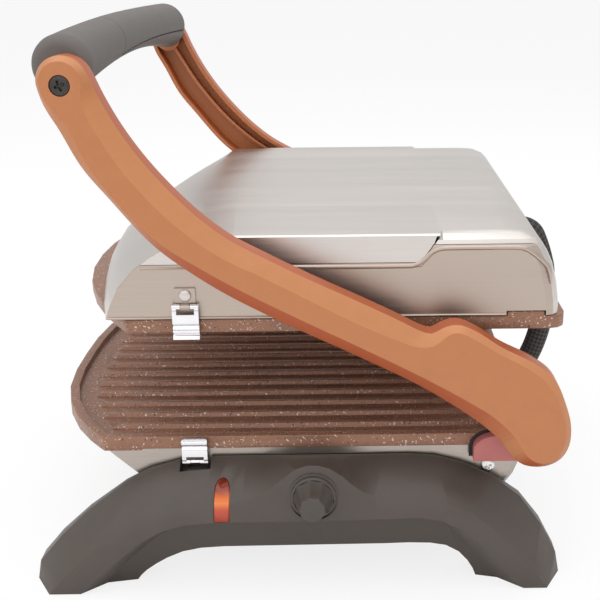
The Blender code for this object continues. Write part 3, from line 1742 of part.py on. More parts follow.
make_housing()
make_plates()
make_heater("lower", rim_bottom_z, -1, 0, machine)
upper_sheet_top = make_heater("upper", upper_back_z, 1, lid_shift, lid_axis)
make_stand("control_stand", "near")
make_stand("plain_stand", "far")
make_feet()
make_controls()
for side in sides:
    make_arm(side)
make_grip()
make_lid()
make_pins()
make_brackets()
make_clips()
make_conduit()
make_wiring()
make_fuse(upper_sheet_top)
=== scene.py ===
import json
import math

import bmesh
import bpy
from mathutils import Matrix, Vector


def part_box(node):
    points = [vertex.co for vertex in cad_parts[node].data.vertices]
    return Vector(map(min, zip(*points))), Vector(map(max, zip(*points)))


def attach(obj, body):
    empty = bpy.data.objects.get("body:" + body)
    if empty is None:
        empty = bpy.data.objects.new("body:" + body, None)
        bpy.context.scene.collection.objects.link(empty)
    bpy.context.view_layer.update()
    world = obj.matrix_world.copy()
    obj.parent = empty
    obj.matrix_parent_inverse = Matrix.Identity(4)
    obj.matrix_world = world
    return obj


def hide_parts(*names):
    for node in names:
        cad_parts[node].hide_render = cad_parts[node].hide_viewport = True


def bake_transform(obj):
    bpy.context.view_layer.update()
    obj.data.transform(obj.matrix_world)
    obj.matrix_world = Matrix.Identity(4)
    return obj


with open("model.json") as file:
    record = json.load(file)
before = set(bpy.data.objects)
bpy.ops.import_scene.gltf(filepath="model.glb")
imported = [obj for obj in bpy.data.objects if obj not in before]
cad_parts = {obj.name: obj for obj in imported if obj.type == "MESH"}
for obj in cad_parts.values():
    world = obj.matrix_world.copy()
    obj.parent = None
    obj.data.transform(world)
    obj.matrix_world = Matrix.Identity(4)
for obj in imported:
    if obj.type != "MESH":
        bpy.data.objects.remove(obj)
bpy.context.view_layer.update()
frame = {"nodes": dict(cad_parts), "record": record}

nodes = frame["nodes"]
scene = bpy.context.scene
shiftX, shiftY = -0.00825, 0.00675  # from the machine's own mid plane to the frame
sides = {"near": -1, "far": 1}
print("frame loaded:", len(nodes), "pieces")


# camera, light and floor

camera = {
    "place": (0.02491, -0.65190, 0.33570),
    "yaw": 0.010,
    "pitch": 0.319,
    "roll": -0.008,
    "focalShare": 1036.9 / 600,  # focal length as a share of the frame's width
    "shiftX": -0.1083,
}


def makeCamera():
    data = bpy.data.cameras.new("camera")
    data.sensor_width = 36
    data.lens = camera["focalShare"] * data.sensor_width
    data.shift_x = camera["shiftX"]
    data.clip_start = 0.01
    eye = bpy.data.objects.new("camera", data)
    yaw, pitch, roll = camera["yaw"], camera["pitch"], camera["roll"]
    forward = Vector((math.sin(yaw) * math.cos(pitch), math.cos(yaw) * math.cos(pitch), -math.sin(pitch)))
    right = Vector((math.cos(yaw), -math.sin(yaw), 0))
    up = right.cross(forward)
    rolledRight = right * math.cos(roll) + up * math.sin(roll)
    rolledUp = up * math.cos(roll) - right * math.sin(roll)
    turn = Matrix((rolledRight, rolledUp, -forward)).transposed().to_4x4()
    eye.matrix_world = Matrix.Translation(camera["place"]) @ turn
    scene.collection.objects.link(eye)
    scene.camera = eye


studio = {
    "worldLevel": 0.75,
    "keyPower": 15.0,
    "keySize": 2.6,
    "keyPlace": (-0.35, -0.75, 1.25),
    "topPower": 9.0,
    "topSize": 2.0,
    "topPlace": (0.15, 0.25, 1.35),
    "aim": (0, 0, 0.12),
    "floorSize": 60.0,
    "floorShade": 0.92,
    "floorGlow": 0.80,
}


def makeLamp(name, power, size, place):
    data = bpy.data.lights.new(name, "AREA")
    data.shape = "SQUARE"
    data.size = size
    data.energy = power
    lamp = bpy.data.objects.new(name, data)
    aim = Vector(studio["aim"]) - Vector(place)
    lamp.matrix_world = Matrix.Translation(place) @ aim.to_track_quat("-Z", "Y").to_matrix().to_4x4()
    scene.collection.objects.link(lamp)


def mathNode(tree, operation, *values):
    # each value is a number or another node's output
    made = tree.nodes.new("ShaderNodeMath")
    made.operation = operation
    for socket, value in zip(made.inputs, values):
        if isinstance(value, (int, float)):
            socket.default_value = value
        else:
            tree.links.new(value, socket)
    return made.outputs[0]


def makeWorld():
    world = bpy.data.worlds.new("studio")
    scene.world = world
    world.use_nodes = True
    tree = world.node_tree
    tree.nodes.clear()
    path = tree.nodes.new("ShaderNodeLightPath")
    seen = mathNode(tree, "MAXIMUM", path.outputs["Is Camera Ray"], path.outputs["Is Transmission Ray"])
    soft = tree.nodes.new("ShaderNodeBackground")
    soft.inputs["Color"].default_value = (1, 1, 1, 1)
    soft.inputs["Strength"].default_value = studio["worldLevel"]
    white = tree.nodes.new("ShaderNodeBackground")
    white.inputs["Color"].default_value = (1, 1, 1, 1)
    white.inputs["Strength"].default_value = 1
    mix = tree.nodes.new("ShaderNodeMixShader")
    out = tree.nodes.new("ShaderNodeOutputWorld")
    tree.links.new(seen, mix.inputs["Fac"])
    tree.links.new(soft.outputs[0], mix.inputs[1])
    tree.links.new(white.outputs[0], mix.inputs[2])
    tree.links.new(mix.outputs[0], out.inputs["Surface"])


def makeFloor():
    bm = bmesh.new()
    bmesh.ops.create_grid(bm, x_segments=1, y_segments=1, size=studio["floorSize"] / 2)
    mesh = bpy.data.meshes.new("floor")
    bm.to_mesh(mesh)
    bm.free()
    floor = bpy.data.objects.new("floor", mesh)
    scene.collection.objects.link(floor)
    paper = bpy.data.materials.new("studioPaper")
    paper.use_nodes = True
    tree = paper.node_tree
    tree.nodes.clear()
    shade = tree.nodes.new("ShaderNodeBsdfDiffuse")
    shade.inputs["Color"].default_value = (studio["floorShade"],) * 3 + (1,)
    glow = tree.nodes.new("ShaderNodeEmission")
    glow.inputs["Color"].default_value = (1, 1, 1, 1)
    glow.inputs["Strength"].default_value = 1
    path = tree.nodes.new("ShaderNodeLightPath")
    seen = mathNode(tree, "MULTIPLY", path.outputs["Is Camera Ray"], studio["floorGlow"])
    mix = tree.nodes.new("ShaderNodeMixShader")
    out = tree.nodes.new("ShaderNodeOutputMaterial")
    tree.links.new(seen, mix.inputs["Fac"])
    tree.links.new(shade.outputs[0], mix.inputs[1])
    tree.links.new(glow.outputs[0], mix.inputs[2])
    tree.links.new(mix.outputs[0], out.inputs["Surface"])
    mesh.materials.append(paper)


makeCamera()
makeWorld()
makeLamp("key", studio["keyPower"], studio["keySize"], studio["keyPlace"])
makeLamp("top", studio["topPower"], studio["topSize"], studio["topPlace"])
makeFloor()
scene.view_settings.view_transform = "Standard"
print("camera, light and floor made")


# finishes

finishes = {}


def finish(name, colour, rough, metal=0.0, grain=400, grainDepth=0.06, mottle=0.10, roughSpread=0.08,
           stretch=(1, 1, 1)):
    # grain is the fine noise's scale, mottle the share that the colour varies by
    made = bpy.data.materials.new(name)
    made.use_nodes = True
    tree = made.node_tree
    body = tree.nodes["Principled BSDF"]
    body.inputs["Metallic"].default_value = metal
    spot = tree.nodes.new("ShaderNodeTexCoord")
    turn = tree.nodes.new("ShaderNodeMapping")
    turn.inputs["Scale"].default_value = stretch
    tree.links.new(spot.outputs["Object"], turn.inputs["Vector"])
    fine = tree.nodes.new("ShaderNodeTexNoise")
    fine.inputs["Scale"].default_value = grain
    fine.inputs["Detail"].default_value = 3
    broad = tree.nodes.new("ShaderNodeTexNoise")
    broad.inputs["Scale"].default_value = grain / 25
    broad.inputs["Detail"].default_value = 2
    tree.links.new(turn.outputs[0], fine.inputs["Vector"])
    tree.links.new(turn.outputs[0], broad.inputs["Vector"])
    both = mathNode(tree, "ADD", fine.outputs["Fac"], broad.outputs["Fac"])
    half = mathNode(tree, "MULTIPLY", both, 0.5)
    ramp = tree.nodes.new("ShaderNodeValToRGB")
    dark = tuple(c * (1 - mottle) for c in colour)
    light = tuple(min(1, c * (1 + mottle)) for c in colour)
    ramp.color_ramp.elements[0].position = 0.35
    ramp.color_ramp.elements[1].position = 0.65
    ramp.color_ramp.elements[0].color = (*dark, 1)
    ramp.color_ramp.elements[1].color = (*light, 1)
    tree.links.new(half, ramp.inputs["Fac"])
    tree.links.new(ramp.outputs["Color"], body.inputs["Base Color"])
    spread = tree.nodes.new("ShaderNodeMapRange")
    spread.inputs["From Min"].default_value = 0.3
    spread.inputs["From Max"].default_value = 0.7
    spread.inputs["To Min"].default_value = max(0.02, rough - roughSpread)
    spread.inputs["To Max"].default_value = min(1, rough + roughSpread)
    tree.links.new(half, spread.inputs["Value"])
    tree.links.new(spread.outputs["Result"], body.inputs["Roughness"])
    bump = tree.nodes.new("ShaderNodeBump")
    bump.inputs["Strength"].default_value = grainDepth
    bump.inputs["Distance"].default_value = 0.0005
    tree.links.new(fine.outputs["Fac"], bump.inputs["Height"])
    tree.links.new(bump.outputs["Normal"], body.inputs["Normal"])
    finishes[name] = made
    return made


def mixOver(tree, share, under, over, blend="MIX"):
    mix = tree.nodes.new("ShaderNodeMix")
    mix.data_type = "RGBA"
    mix.blend_type = blend
    for socket, value in zip(("Factor", "A", "B"), (share, under, over)):
        if isinstance(value, bpy.types.NodeSocket):
            tree.links.new(value, mix.inputs[socket])
        else:
            mix.inputs[socket].default_value = value
    return mix.outputs["Result"]


speckEdge = 0.04  # how softly a speck ends


def layered(name, colour, rough, spots, **values):
    # a finish with a scatter of specks over it; spots are (scale, threshold, colour)
    made = finish(name, colour, rough, **values)
    tree = made.node_tree
    body = tree.nodes["Principled BSDF"]
    under = body.inputs["Base Color"].links[0].from_socket
    spot = tree.nodes.new("ShaderNodeTexCoord")
    for scale, limit, tint in spots:
        cells = tree.nodes.new("ShaderNodeTexNoise")
        cells.inputs["Scale"].default_value = scale
        cells.inputs["Detail"].default_value = 1
        tree.links.new(spot.outputs["Object"], cells.inputs["Vector"])
        step = tree.nodes.new("ShaderNodeMapRange")
        step.inputs["From Min"].default_value = limit
        step.inputs["From Max"].default_value = limit + speckEdge
        tree.links.new(cells.outputs["Fac"], step.inputs["Value"])
        under = mixOver(tree, step.outputs["Result"], under, (*tint, 1))
    tree.links.new(under, body.inputs["Base Color"])
    return made


def glowing(name, colour, rough, low, high):
    # the lamp behind the lens lights its middle, in real height
    made = finish(name, colour, rough, grain=600, mottle=0.05)
    tree = made.node_tree
    body = tree.nodes["Principled BSDF"]
    spot = tree.nodes.new("ShaderNodeTexCoord")
    split = tree.nodes.new("ShaderNodeSeparateXYZ")
    tree.links.new(spot.outputs["Object"], split.inputs[0])
    band = tree.nodes.new("ShaderNodeMapRange")
    band.inputs["From Min"].default_value = low
    band.inputs["From Max"].default_value = high
    tree.links.new(split.outputs["Z"], band.inputs["Value"])
    ramp = tree.nodes.new("ShaderNodeValToRGB")
    ramp.color_ramp.elements[0].color = (0.25, 0.03, 0.01, 1)
    ramp.color_ramp.elements[1].color = (0.02, 0.008, 0.004, 1)
    tints = (
        (0.12, (0.40, 0.035, 0.012, 1)), (0.34, (0.62, 0.075, 0.018, 1)), (0.52, (1.0, 0.30, 0.06, 1)),
        (0.62, (0.95, 0.20, 0.03, 1)), (0.78, (0.22, 0.02, 0.006, 1)),
    )
    for place, tint in tints:
        ramp.color_ramp.elements.new(place).color = tint
    tree.links.new(band.outputs["Result"], ramp.inputs["Fac"])
    tree.links.new(ramp.outputs["Color"], body.inputs["Emission Color"])
    body.inputs["Emission Strength"].default_value = 0.70
    return made


finish(
    "satinSteel", (0.64, 0.600, 0.570), 0.38, 1.0,
    grain=260, grainDepth=0.05, mottle=0.05, stretch=(0.06, 3, 3),
)
finish(
    "sideSteel", (0.49, 0.41, 0.355), 0.42, 1.0,
    grain=260, grainDepth=0.04, mottle=0.05, stretch=(0.06, 1, 4),
)
finish(
    "housingSteel", (0.42, 0.37, 0.33), 0.30, 1.0,
    grain=300, grainDepth=0.03, mottle=0.07, stretch=(0.2, 1, 2),
)
finish("brightNickel", (0.80, 0.79, 0.81), 0.16, 1.0, grain=900, grainDepth=0.02, mottle=0.04)
finish("zincScrew", (0.72, 0.72, 0.70), 0.24, 1.0, grain=1500, grainDepth=0.05, mottle=0.08)
finish("blackOxide", (0.055, 0.048, 0.043), 0.38, 0.7, grain=1500, grainDepth=0.08, mottle=0.15)
finish("sheathSteel", (0.12, 0.11, 0.11), 0.50, 0.9, grain=700, mottle=0.2)
finish("millAluminium", (0.62, 0.62, 0.62), 0.38, 1.0, grain=300, mottle=0.06, stretch=(0.1, 2, 2))
finish("standPlastic", (0.072, 0.057, 0.048), 0.42, 0.0, grain=2200, grainDepth=0.16, mottle=0.06)
finish("coverPlastic", (0.05, 0.044, 0.04), 0.55, 0.0, grain=1800, grainDepth=0.15, mottle=0.08)
finish("knobPlastic", (0.066, 0.054, 0.046), 0.40, 0.0, grain=2200, grainDepth=0.12, mottle=0.06)
finish("softGrip", (0.118, 0.104, 0.096), 0.62, 0.0, grain=2600, grainDepth=0.20, mottle=0.06)
finish("pinkMoulding", (0.47, 0.145, 0.135), 0.42, 0.0, grain=1800, grainDepth=0.06, mottle=0.05)
finish("blackRubber", (0.018, 0.016, 0.015), 0.75, 0.0, grain=1200, grainDepth=0.15, mottle=0.15)
finish("ceramicBody", (0.72, 0.67, 0.60), 0.60, 0.0, grain=700, grainDepth=0.10, mottle=0.05)
layered(
    "speckledCoat", (0.275, 0.135, 0.085), 0.40,
    ((760, 0.665, (0.62, 0.53, 0.47)), (620, 0.655, (0.10, 0.05, 0.035))),
    metal=0.25, grain=1500, grainDepth=0.10, mottle=0.12,
)
lensLow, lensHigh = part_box("indicator_lens")
glowing("amberLens", (0.11, 0.014, 0.006), 0.16, lensLow[2], lensHigh[2])
print("finishes made:", len(finishes))

finishOf = {
    "lid_cover": "satinSteel", "lid_side": "sideSteel", "lower_housing": "housingSteel",
    "bottom_cover": "coverPlastic", "lower_plate": "speckledCoat", "upper_plate": "speckledCoat",
    "heating_element": "sheathSteel", "reflector": "millAluminium", "stand": "standPlastic",
    "foot": "blackRubber", "bracket_pad": "blackRubber", "indicator_lens": "amberLens",
    "indicator_lamp": "ceramicBody", "thermostat": "ceramicBody", "terminal_block": "ceramicBody",
    "thermal_fuse": "ceramicBody", "knob_shaft": "brightNickel", "control_knob": "knobPlastic",
    "arm": "copperPaintAndPaintedShade", "handle_bar": "brightNickel", "grip_sleeve": "softGrip",
    "grip_insert": "softGrip", "grip_screw": "blackOxide", "bracket_screw": "zincScrew",
    "pin": "brightNickel", "hinge_bracket": "pinkMoulding", "clip": "brightNickel",
    "upper_clip_leaf": "sideSteel", "clip_rivet": "satinSteel",
    "gland": "blackRubber", "cord_inlet": "blackRubber", "braided_conduit": "braidedSleeve",
}


def finishFor(node):
    found = [key for key in finishOf if key in node]
    return finishes[finishOf[max(found, key=len)]]


# pieces

bodyOf = {node: body for body, held in frame["record"]["behaviour"]["bodies"].items() for node in held}


def shadeByAngle(mesh, angle):
    mesh.shade_smooth()
    mesh.set_sharp_from_angle(angle=math.radians(angle))


def addPiece(name, bm, node, replaced=(), angle=32, material=None, rides=True):
    # node gives the body and the finish
    mesh = bpy.data.meshes.new(name)
    bm.to_mesh(mesh)
    bm.free()
    shadeByAngle(mesh, angle)
    mesh.materials.append(material or finishFor(node))
    made = bpy.data.objects.new(name, mesh)
    scene.collection.objects.link(made)
    if rides:
        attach(made, bodyOf[node])
    if replaced:
        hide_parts(*replaced)
    return made


def copyOf(node):
    bm = bmesh.new()
    bm.from_mesh(nodes[node].data)
    bmesh.ops.remove_doubles(bm, verts=bm.verts, dist=0.00001)
    bmesh.ops.dissolve_limit(bm, angle_limit=math.radians(0.6), verts=bm.verts, edges=bm.edges)
    return bm


def soften(bm, width, angle=40):
    sharp = math.radians(angle)
    edges = [edge for edge in bm.edges if len(edge.link_faces) == 2 and edge.calc_face_angle(0) > sharp]
    bmesh.ops.bevel(
        bm, geom=edges, offset=width, offset_type="OFFSET", segments=2, profile=0.5, affect="EDGES",
        clamp_overlap=True, material=-1,
    )


# rounding of each carried-over piece's edges, in metres
softening = {
    "control_stand": 0.0007, "plain_stand": 0.0007,
    "hinge_bracket_near": 0.0006, "hinge_bracket_far": 0.0006, "lower_plate": 0.0006,
    "upper_plate": 0.0006, "control_knob": 0.0003, "foot_front_near": 0.0005,
    "foot_rear_near": 0.0005, "foot_front_far": 0.0005, "foot_rear_far": 0.0005,
    "lid_pin_near": 0.0003, "lid_pin_far": 0.0003, "hinge_pin_near": 0.0003, "hinge_pin_far": 0.0003,
    "bracket_pad_near": 0.0002, "bracket_pad_far": 0.0002, "indicator_lens": 0.0003,
    "cord_inlet": 0.0003, "lid_gland": 0.0003, "base_gland": 0.0003,
}


def makeSoftened():
    for node, width in softening.items():
        bm = copyOf(node)
        soften(bm, width)
        addPiece(node + "_finished", bm, node, replaced=(node,), angle=50 if "stand" in node else 32)
    print("edges rounded on", len(softening), "pieces")


def dressRest():
    for node, held in nodes.items():
        if held.hide_render:
            continue
        held.data.materials.clear()
        held.data.materials.append(finishFor(node))


# loops and lofts read from a carried-over piece


def middleMirror(point):
    return Vector((point.x, 2 * shiftY - point.y, point.z))


inPlane = 0.00002  # metres within which a point counts as lying in a plane


def edgeLoop(bm, y):
    # longest closed run of edges in a plane across Y, where a face in that plane or beside it ends
    near = {v for v in bm.verts if abs(v.co.y - y) < inPlane}
    runs = {}
    for edge in bm.edges:
        if edge.verts[0] in near and edge.verts[1] in near and len(edge.link_faces) == 2:
            if edge.calc_face_angle(0) > math.radians(4):
                for vert in edge.verts:
                    runs.setdefault(vert, []).append(edge.other_vert(vert))
    best = []
    left = set(runs)
    while left:
        here = next(v for v in runs if v in left)
        left.discard(here)
        loop, last = [here], None
        while True:
            ahead = [v for v in runs[here] if v is not last and v in left]
            if not ahead:
                break
            last, here = here, ahead[0]
            left.discard(here)
            loop.append(here)
        if len(loop) > len(best):
            best = loop
    return [v.co.copy() for v in best]


def refined(points, counts):
    # a closed smooth curve through the points, with counts[i] steps after point i
    out = []
    total = len(points)
    for i in range(total):
        a, b, c, d = points[i - 1], points[i], points[(i + 1) % total], points[(i + 2) % total]
        one, two, three = (b - a).length, (c - b).length, (d - c).length
        leave = ((b - a) / one * two + (c - b) / two * one) / (one + two)
        reach = ((c - b) / two * three + (d - c) / three * two) / (two + three)
        for k in range(counts[i]):
            t = k / counts[i]
            bend = (2 * t**3 - 3 * t**2 + 1) * b + (3 * t**2 - 2 * t**3) * c
            out.append(bend + two * ((t**3 - 2 * t**2 + t) * leave + (t**3 - t**2) * reach))
    return out


def movedIn(points, width):
    out = []
    total = len(points)
    for i in range(total):
        before, here, after = points[i - 1], points[i], points[(i + 1) % total]
        arrive = (here - before).normalized()
        along = (arrive + (after - here).normalized()).normalized()
        inward = Vector((along.z, 0, -along.x))
        # further in at a corner, so that the width holds on both of its sides
        share = max(inward.dot(Vector((arrive.z, 0, -arrive.x))), 0.5)
        out.append(here + inward * width / share)
    return out


def turnsRight(points):
    area = sum(a.x * b.z - b.x * a.z for a, b in zip(points, points[1:] + points[:1]))
    return area < 0


def strips(bm, rings, closed=True):
    # quads from each ring or row of points to the next
    for low, high in zip(rings, rings[1:]):
        for i in range(len(low) if closed else len(low) - 1):
            j = (i + 1) % len(low)
            bm.faces.new((low[i], low[j], high[j], high[i]))


def ringEdges(bm, ring):
    return [bm.edges.get(pair) for pair in zip(ring, ring[1:] + ring[:1])]


def circleRing(bm, centre, radius, sides=48):
    ring = []
    for k in range(sides):
        angle = 2 * math.pi * k / sides
        place = (centre[0] + radius * math.cos(angle), centre[1], centre[2] + radius * math.sin(angle))
        ring.append(bm.verts.new(place))
    for a, b in zip(ring, ring[1:] + ring[:1]):
        bm.edges.new((a, b))
    return ring


def fillBetween(bm, *rings):
    edges = [edge for ring in rings for edge in ringEdges(bm, ring)]
    bmesh.ops.triangle_fill(bm, use_beauty=True, use_dissolve=False, edges=edges)


def addRod(bm, middle, axis, radius, length, sides):
    # a round rod, turned from upright by a quarter round the axis
    turn = Matrix.Rotation(math.pi / 2, 4, axis)
    bmesh.ops.create_cone(
        bm, cap_ends=True, segments=sides, radius1=radius, radius2=radius, depth=length,
        matrix=Matrix.Translation(middle) @ turn,
    )


def tidyNormals(bm):
    bmesh.ops.remove_doubles(bm, verts=bm.verts, dist=0.000005)
    bmesh.ops.recalc_face_normals(bm, faces=bm.faces)


def mirrorFar(bm):
    for vert in bm.verts:
        vert.co = middleMirror(vert.co)
    bmesh.ops.reverse_faces(bm, faces=bm.faces)


# arms

arms = {
    "step": 0.0030,  # longest stretch along the outline
    "bevelBelow": 0.003,  # the bevel ends deeper than this
    "wall": 0.0028,
    "web": 0.0045,
    "crease": 0.00035,  # half the width of the rounding on a crease
    "rimRound": 0.0006,
    "ribHalf": 0.0010,
    "ribSetBack": 0.0035,
    "ribRound": 0.0004,
    "ribSunk": 0.0005,
    # x, z, radius and bore of the bosses at the hinge, the lid pin and the grip
    "bosses": (
        (0.12025, 0.100, 0.0100, 0.0054), (0.01175, 0.158, 0.0080, 0.0043),
        (-0.11385, 0.2792, 0.0090, 0.0025),
    ),
    "rib": (
        (-0.1139, 0.2792), (-0.1049, 0.2640), (-0.0936, 0.2454), (-0.0772, 0.2245), (-0.0606, 0.2081),
        (-0.0431, 0.1950), (-0.0083, 0.1754), (0.0257, 0.1584), (0.0577, 0.1416), (0.0853, 0.1294),
        (0.1061, 0.1134), (0.1203, 0.1000),
    ),
    "arcEnd": (0.0130, 0.0007),  # from the grip's axis to the end of the arc, a corner that is left out
    "screwBore": 0.0051,
    "screwSeat": 0.0019,
    # colour factors for painted light and shade: painted light on up-facing bevels, painted shade on
    # down-facing bevels, on the walls and on the channel's floor
    "upperPaintedLight": (1.10, 1.17, 1.24),
    "underPaintedShade": (0.84, 0.47, 0.34),
    "wallPaintedShade": (0.90, 0.56, 0.42),
    "floorPaintedShade": (1.0, 0.90, 0.82),
    # how far a face looks outwards, from 1 on the main face to -1 on the channel's floor seen from inside
    "faceOut": 0.985,
    "bevelOut": 0.25,
    "floorOut": -0.9,
    # how far up or down a bevel looks before its painted light or painted shade sets in
    "upperSpan": 0.6,
    "underFrom": 0.55,
    "underSpan": 0.3,
    "peak": 0.35,  # how far a crease's middle line stays from its sharp corner
}


def armPaintWithPaintedShade():
    # painted light and shade lie on the mesh as a colour factor over the copper paint: painted paler over
    # the upper bevel, where light falls, and painted darker under the lower one, on the walls and on the
    # channel's floor, as shade
    made = finish(
        "copperPaintAndPaintedShade", (0.455, 0.172, 0.064), 0.40, 0.10,
        grain=2600, grainDepth=0.05, mottle=0.035, roughSpread=0.05,
    )
    tree = made.node_tree
    body = tree.nodes["Principled BSDF"]
    under = body.inputs["Base Color"].links[0].from_socket
    paintedShading = tree.nodes.new("ShaderNodeAttribute")
    paintedShading.attribute_name = "paintedShading"
    toned = mixOver(tree, 1.0, under, paintedShading.outputs["Color"], "MULTIPLY")
    tree.links.new(toned, body.inputs["Base Color"])


# writes a colour factor for each face; the arms use it for painted light and painted shade
def paintShadingAttribute(mesh, toneOf):
    layer = mesh.color_attributes.new("paintedShading", "FLOAT_COLOR", "CORNER")
    for face in mesh.polygons:
        for i in face.loop_indices:
            layer.data[i].color = (*toneOf(face), 1)


def armRings():
    bm = copyOf("arm_near")
    faceY = min(v.co.y for v in bm.verts)
    innerY = max(v.co.y for v in bm.verts)
    levels = sorted({round(v.co.y, 5) for v in bm.verts})
    bevelY = next(y for y in levels if y > faceY + arms["bevelBelow"] and len(edgeLoop(bm, y)) > 20)
    outline = edgeLoop(bm, bevelY)
    if not turnsRight(outline):
        outline.reverse()
    # each of its points has its partner across the bevel
    crease = []
    for point in outline:
        vert = min(bm.verts, key=lambda v: (v.co - point).length)
        across = [edge.other_vert(vert).co for edge in vert.link_edges]
        across = [co.copy() for co in across if abs(co.y - faceY) < inPlane]
        across = [co for co in across if all(not used or (used - co).length > 0.00005 for used in crease)]
        crease.append(min(across, key=lambda co: (co - point).length) if across else None)
    gripX, gripZ = arms["bosses"][2][:2]
    arcEnd = Vector((gripX + arms["arcEnd"][0], bevelY, gripZ + arms["arcEnd"][1]))
    corner = min(outline, key=lambda p: (p - arcEnd).length)
    pairs = [pair for pair in zip(outline, crease) if pair[1] and pair[0] is not corner]
    outline, crease = [list(row) for row in zip(*pairs)]
    bm.free()
    print("arm outline", len(outline), "bevel at", round(bevelY, 4))
    return outline, crease, faceY, bevelY, innerY


def armShell(bm, rings):
    # walls, bevels and rims; the loops that the face and the channel's floor fill are given back
    outline, crease, faceY, bevelY, innerY = rings
    stretches = [(b - a).length for a, b in zip(outline, outline[1:] + outline[:1])]
    counts = [max(2, round(length / arms["step"])) for length in stretches]
    edge = refined(outline, counts)
    face = refined(crease, counts)

    def ring(points, y=None):
        return [bm.verts.new((p.x, p.y if y is None else y, p.z)) for p in points]

    soft = arms["crease"]
    # round the crease between the bevel and the face, and the one between the bevel and the wall
    onBevel = [f + (e - f).normalized() * soft for f, e in zip(face, edge)]
    onFace = movedIn(face, soft)
    lowBevel = [e + (f - e).normalized() * soft for f, e in zip(face, edge)]
    peak = [f.lerp((a + b) / 2, arms["peak"]) for f, a, b in zip(face, onBevel, onFace)]
    corner = [e.lerp((a + e + Vector((0, soft, 0))) / 2, arms["peak"]) for e, a in zip(edge, lowBevel)]
    bend = arms["rimRound"]
    outerRings = [
        ring(onFace), ring(peak), ring(onBevel), ring(lowBevel), ring(corner), ring(edge, bevelY + soft),
        ring(edge, innerY - bend), ring(movedIn(edge, bend / 3), innerY - bend / 3),
        ring(movedIn(edge, bend), innerY),
    ]
    strips(bm, outerRings)
    wall, floorY = arms["wall"], faceY + arms["web"]
    innerRings = [
        outerRings[-1],
        ring(movedIn(edge, wall - bend / 2), innerY), ring(movedIn(edge, wall), innerY - bend / 2),
        ring(movedIn(edge, wall), floorY + bend), ring(movedIn(edge, wall + bend), floorY),
    ]
    strips(bm, innerRings)
    return outerRings[0], innerRings[-1]


def armBosses(bm, innerY, floorY):
    # the middle boss stands clear of the walls, the end ones reach into them, so the floor lies under all
    for x, z, radius, bore in arms["bosses"]:
        foot = circleRing(bm, (x, floorY, z), radius)
        top = circleRing(bm, (x, innerY, z), radius)
        mouth = circleRing(bm, (x, innerY, z), bore)
        deep = circleRing(bm, (x, floorY, z), bore)
        strips(bm, [foot, top, mouth, deep])


def armRib(bm, innerY, floorY):
    rib = smoothLine([(x, 0, z) for x, z in arms["rib"]], 4)
    topY = innerY - arms["ribSetBack"]
    sideY = topY - arms["ribRound"]
    footY = floorY - arms["ribSunk"]
    sections = []
    for i, here in enumerate(rib):
        along = (rib[min(i + 1, len(rib) - 1)] - rib[max(i - 1, 0)]).normalized()
        across = Vector((-along.z, 0, along.x)) * arms["ribHalf"]
        one, two = here + across, here - across
        places = ((one, footY), (one, sideY), (here, topY), (two, sideY), (two, footY))
        sections.append([bm.verts.new((p.x, y, p.z)) for p, y in places])
    strips(bm, sections, closed=False)


def armPaintedShade(sign):
    def toned(target, share):
        share = min(1, max(0, share))
        return tuple(1 + (value - 1) * share for value in target)

    # painted light and shade by the way each face looks: painted paler facing up, painted darker facing
    # down, sideways or into the channel
    def paintedShading(face):
        out = face.normal.y * sign
        up = face.normal.z / max(math.hypot(face.normal.x, face.normal.z), 0.001)
        if out > arms["faceOut"]:
            return (1, 1, 1)
        if out < arms["bevelOut"]:
            return arms["floorPaintedShade"] if out < arms["floorOut"] else arms["wallPaintedShade"]
        if up > 0:
            return toned(arms["upperPaintedLight"], up / arms["upperSpan"])
        return toned(arms["underPaintedShade"], (-up - arms["underFrom"]) / arms["underSpan"])

    return paintedShading


def makeArm(side, rings):
    faceY, innerY = rings[2], rings[4]
    floorY = faceY + arms["web"]
    gripX, gripZ = arms["bosses"][2][:2]
    bm = bmesh.new()
    faceLoop, floorLoop = armShell(bm, rings)
    armBosses(bm, innerY, floorY)
    fillBetween(bm, floorLoop)
    hole = circleRing(bm, (gripX, faceY, gripZ), arms["screwBore"])
    seat = circleRing(bm, (gripX, faceY + arms["screwSeat"], gripZ), arms["screwBore"])
    strips(bm, [hole, seat])
    bm.faces.new(seat)
    fillBetween(bm, faceLoop, hole)
    armRib(bm, innerY, floorY)
    tidyNormals(bm)
    if side == "far":
        mirrorFar(bm)
    made = addPiece("arm_" + side + "_moulded", bm, "arm_" + side, replaced=("arm_" + side,), angle=14)
    # the painted light and painted shade go onto the arm as a colour attribute
    paintShadingAttribute(made.data, armPaintedShade(sides[side]))


def makeArms():
    rings = armRings()
    for side in sides:
        makeArm(side, rings)
    print("arms made")


# grip

grip = {
    "x": -0.11565,
    "z": 0.2880,
    "rise": 0.0048,
    "endY": 0.1434,
    "middle": 0.0130,  # radius
    "end": 0.0152,
    "endRise": (-0.0017, 0.0014),  # at the near and the far end
    "endShift": (-0.0018, 0.0014),
    "endRound": 0.0065,
    "endTrim": 0.8,
    "underShare": 0.90,  # the underside is flatter than a circle
    "underEnds": (0.92, 1.10),
    "underRound": 0.3,  # share of the ends' rounding that the underside gets
    "sides": 56,
    "steps": 64,
    "seamY": -0.0570,
    "seamDepth": 0.0006,
    "seamWidth": 0.0009,
    "seamTurn": 1.8,  # degrees round the grip that each side of the insert's groove takes
    "grooveTurn": 4,  # sides past the half turn, where the insert's rear edge runs
    "insertLow": (-48, -14),  # degrees of the insert's edge from level, at the near and the far end
    # a row of holes along the insert's edge, whose inside shade is painted as black dots
    "holes": 30,
    "holesFrom": 0.03,  # shares of the half length
    "holesTo": 0.955,
    "holeRadius": 0.00055,
    "holeSunk": 0.0002,
}


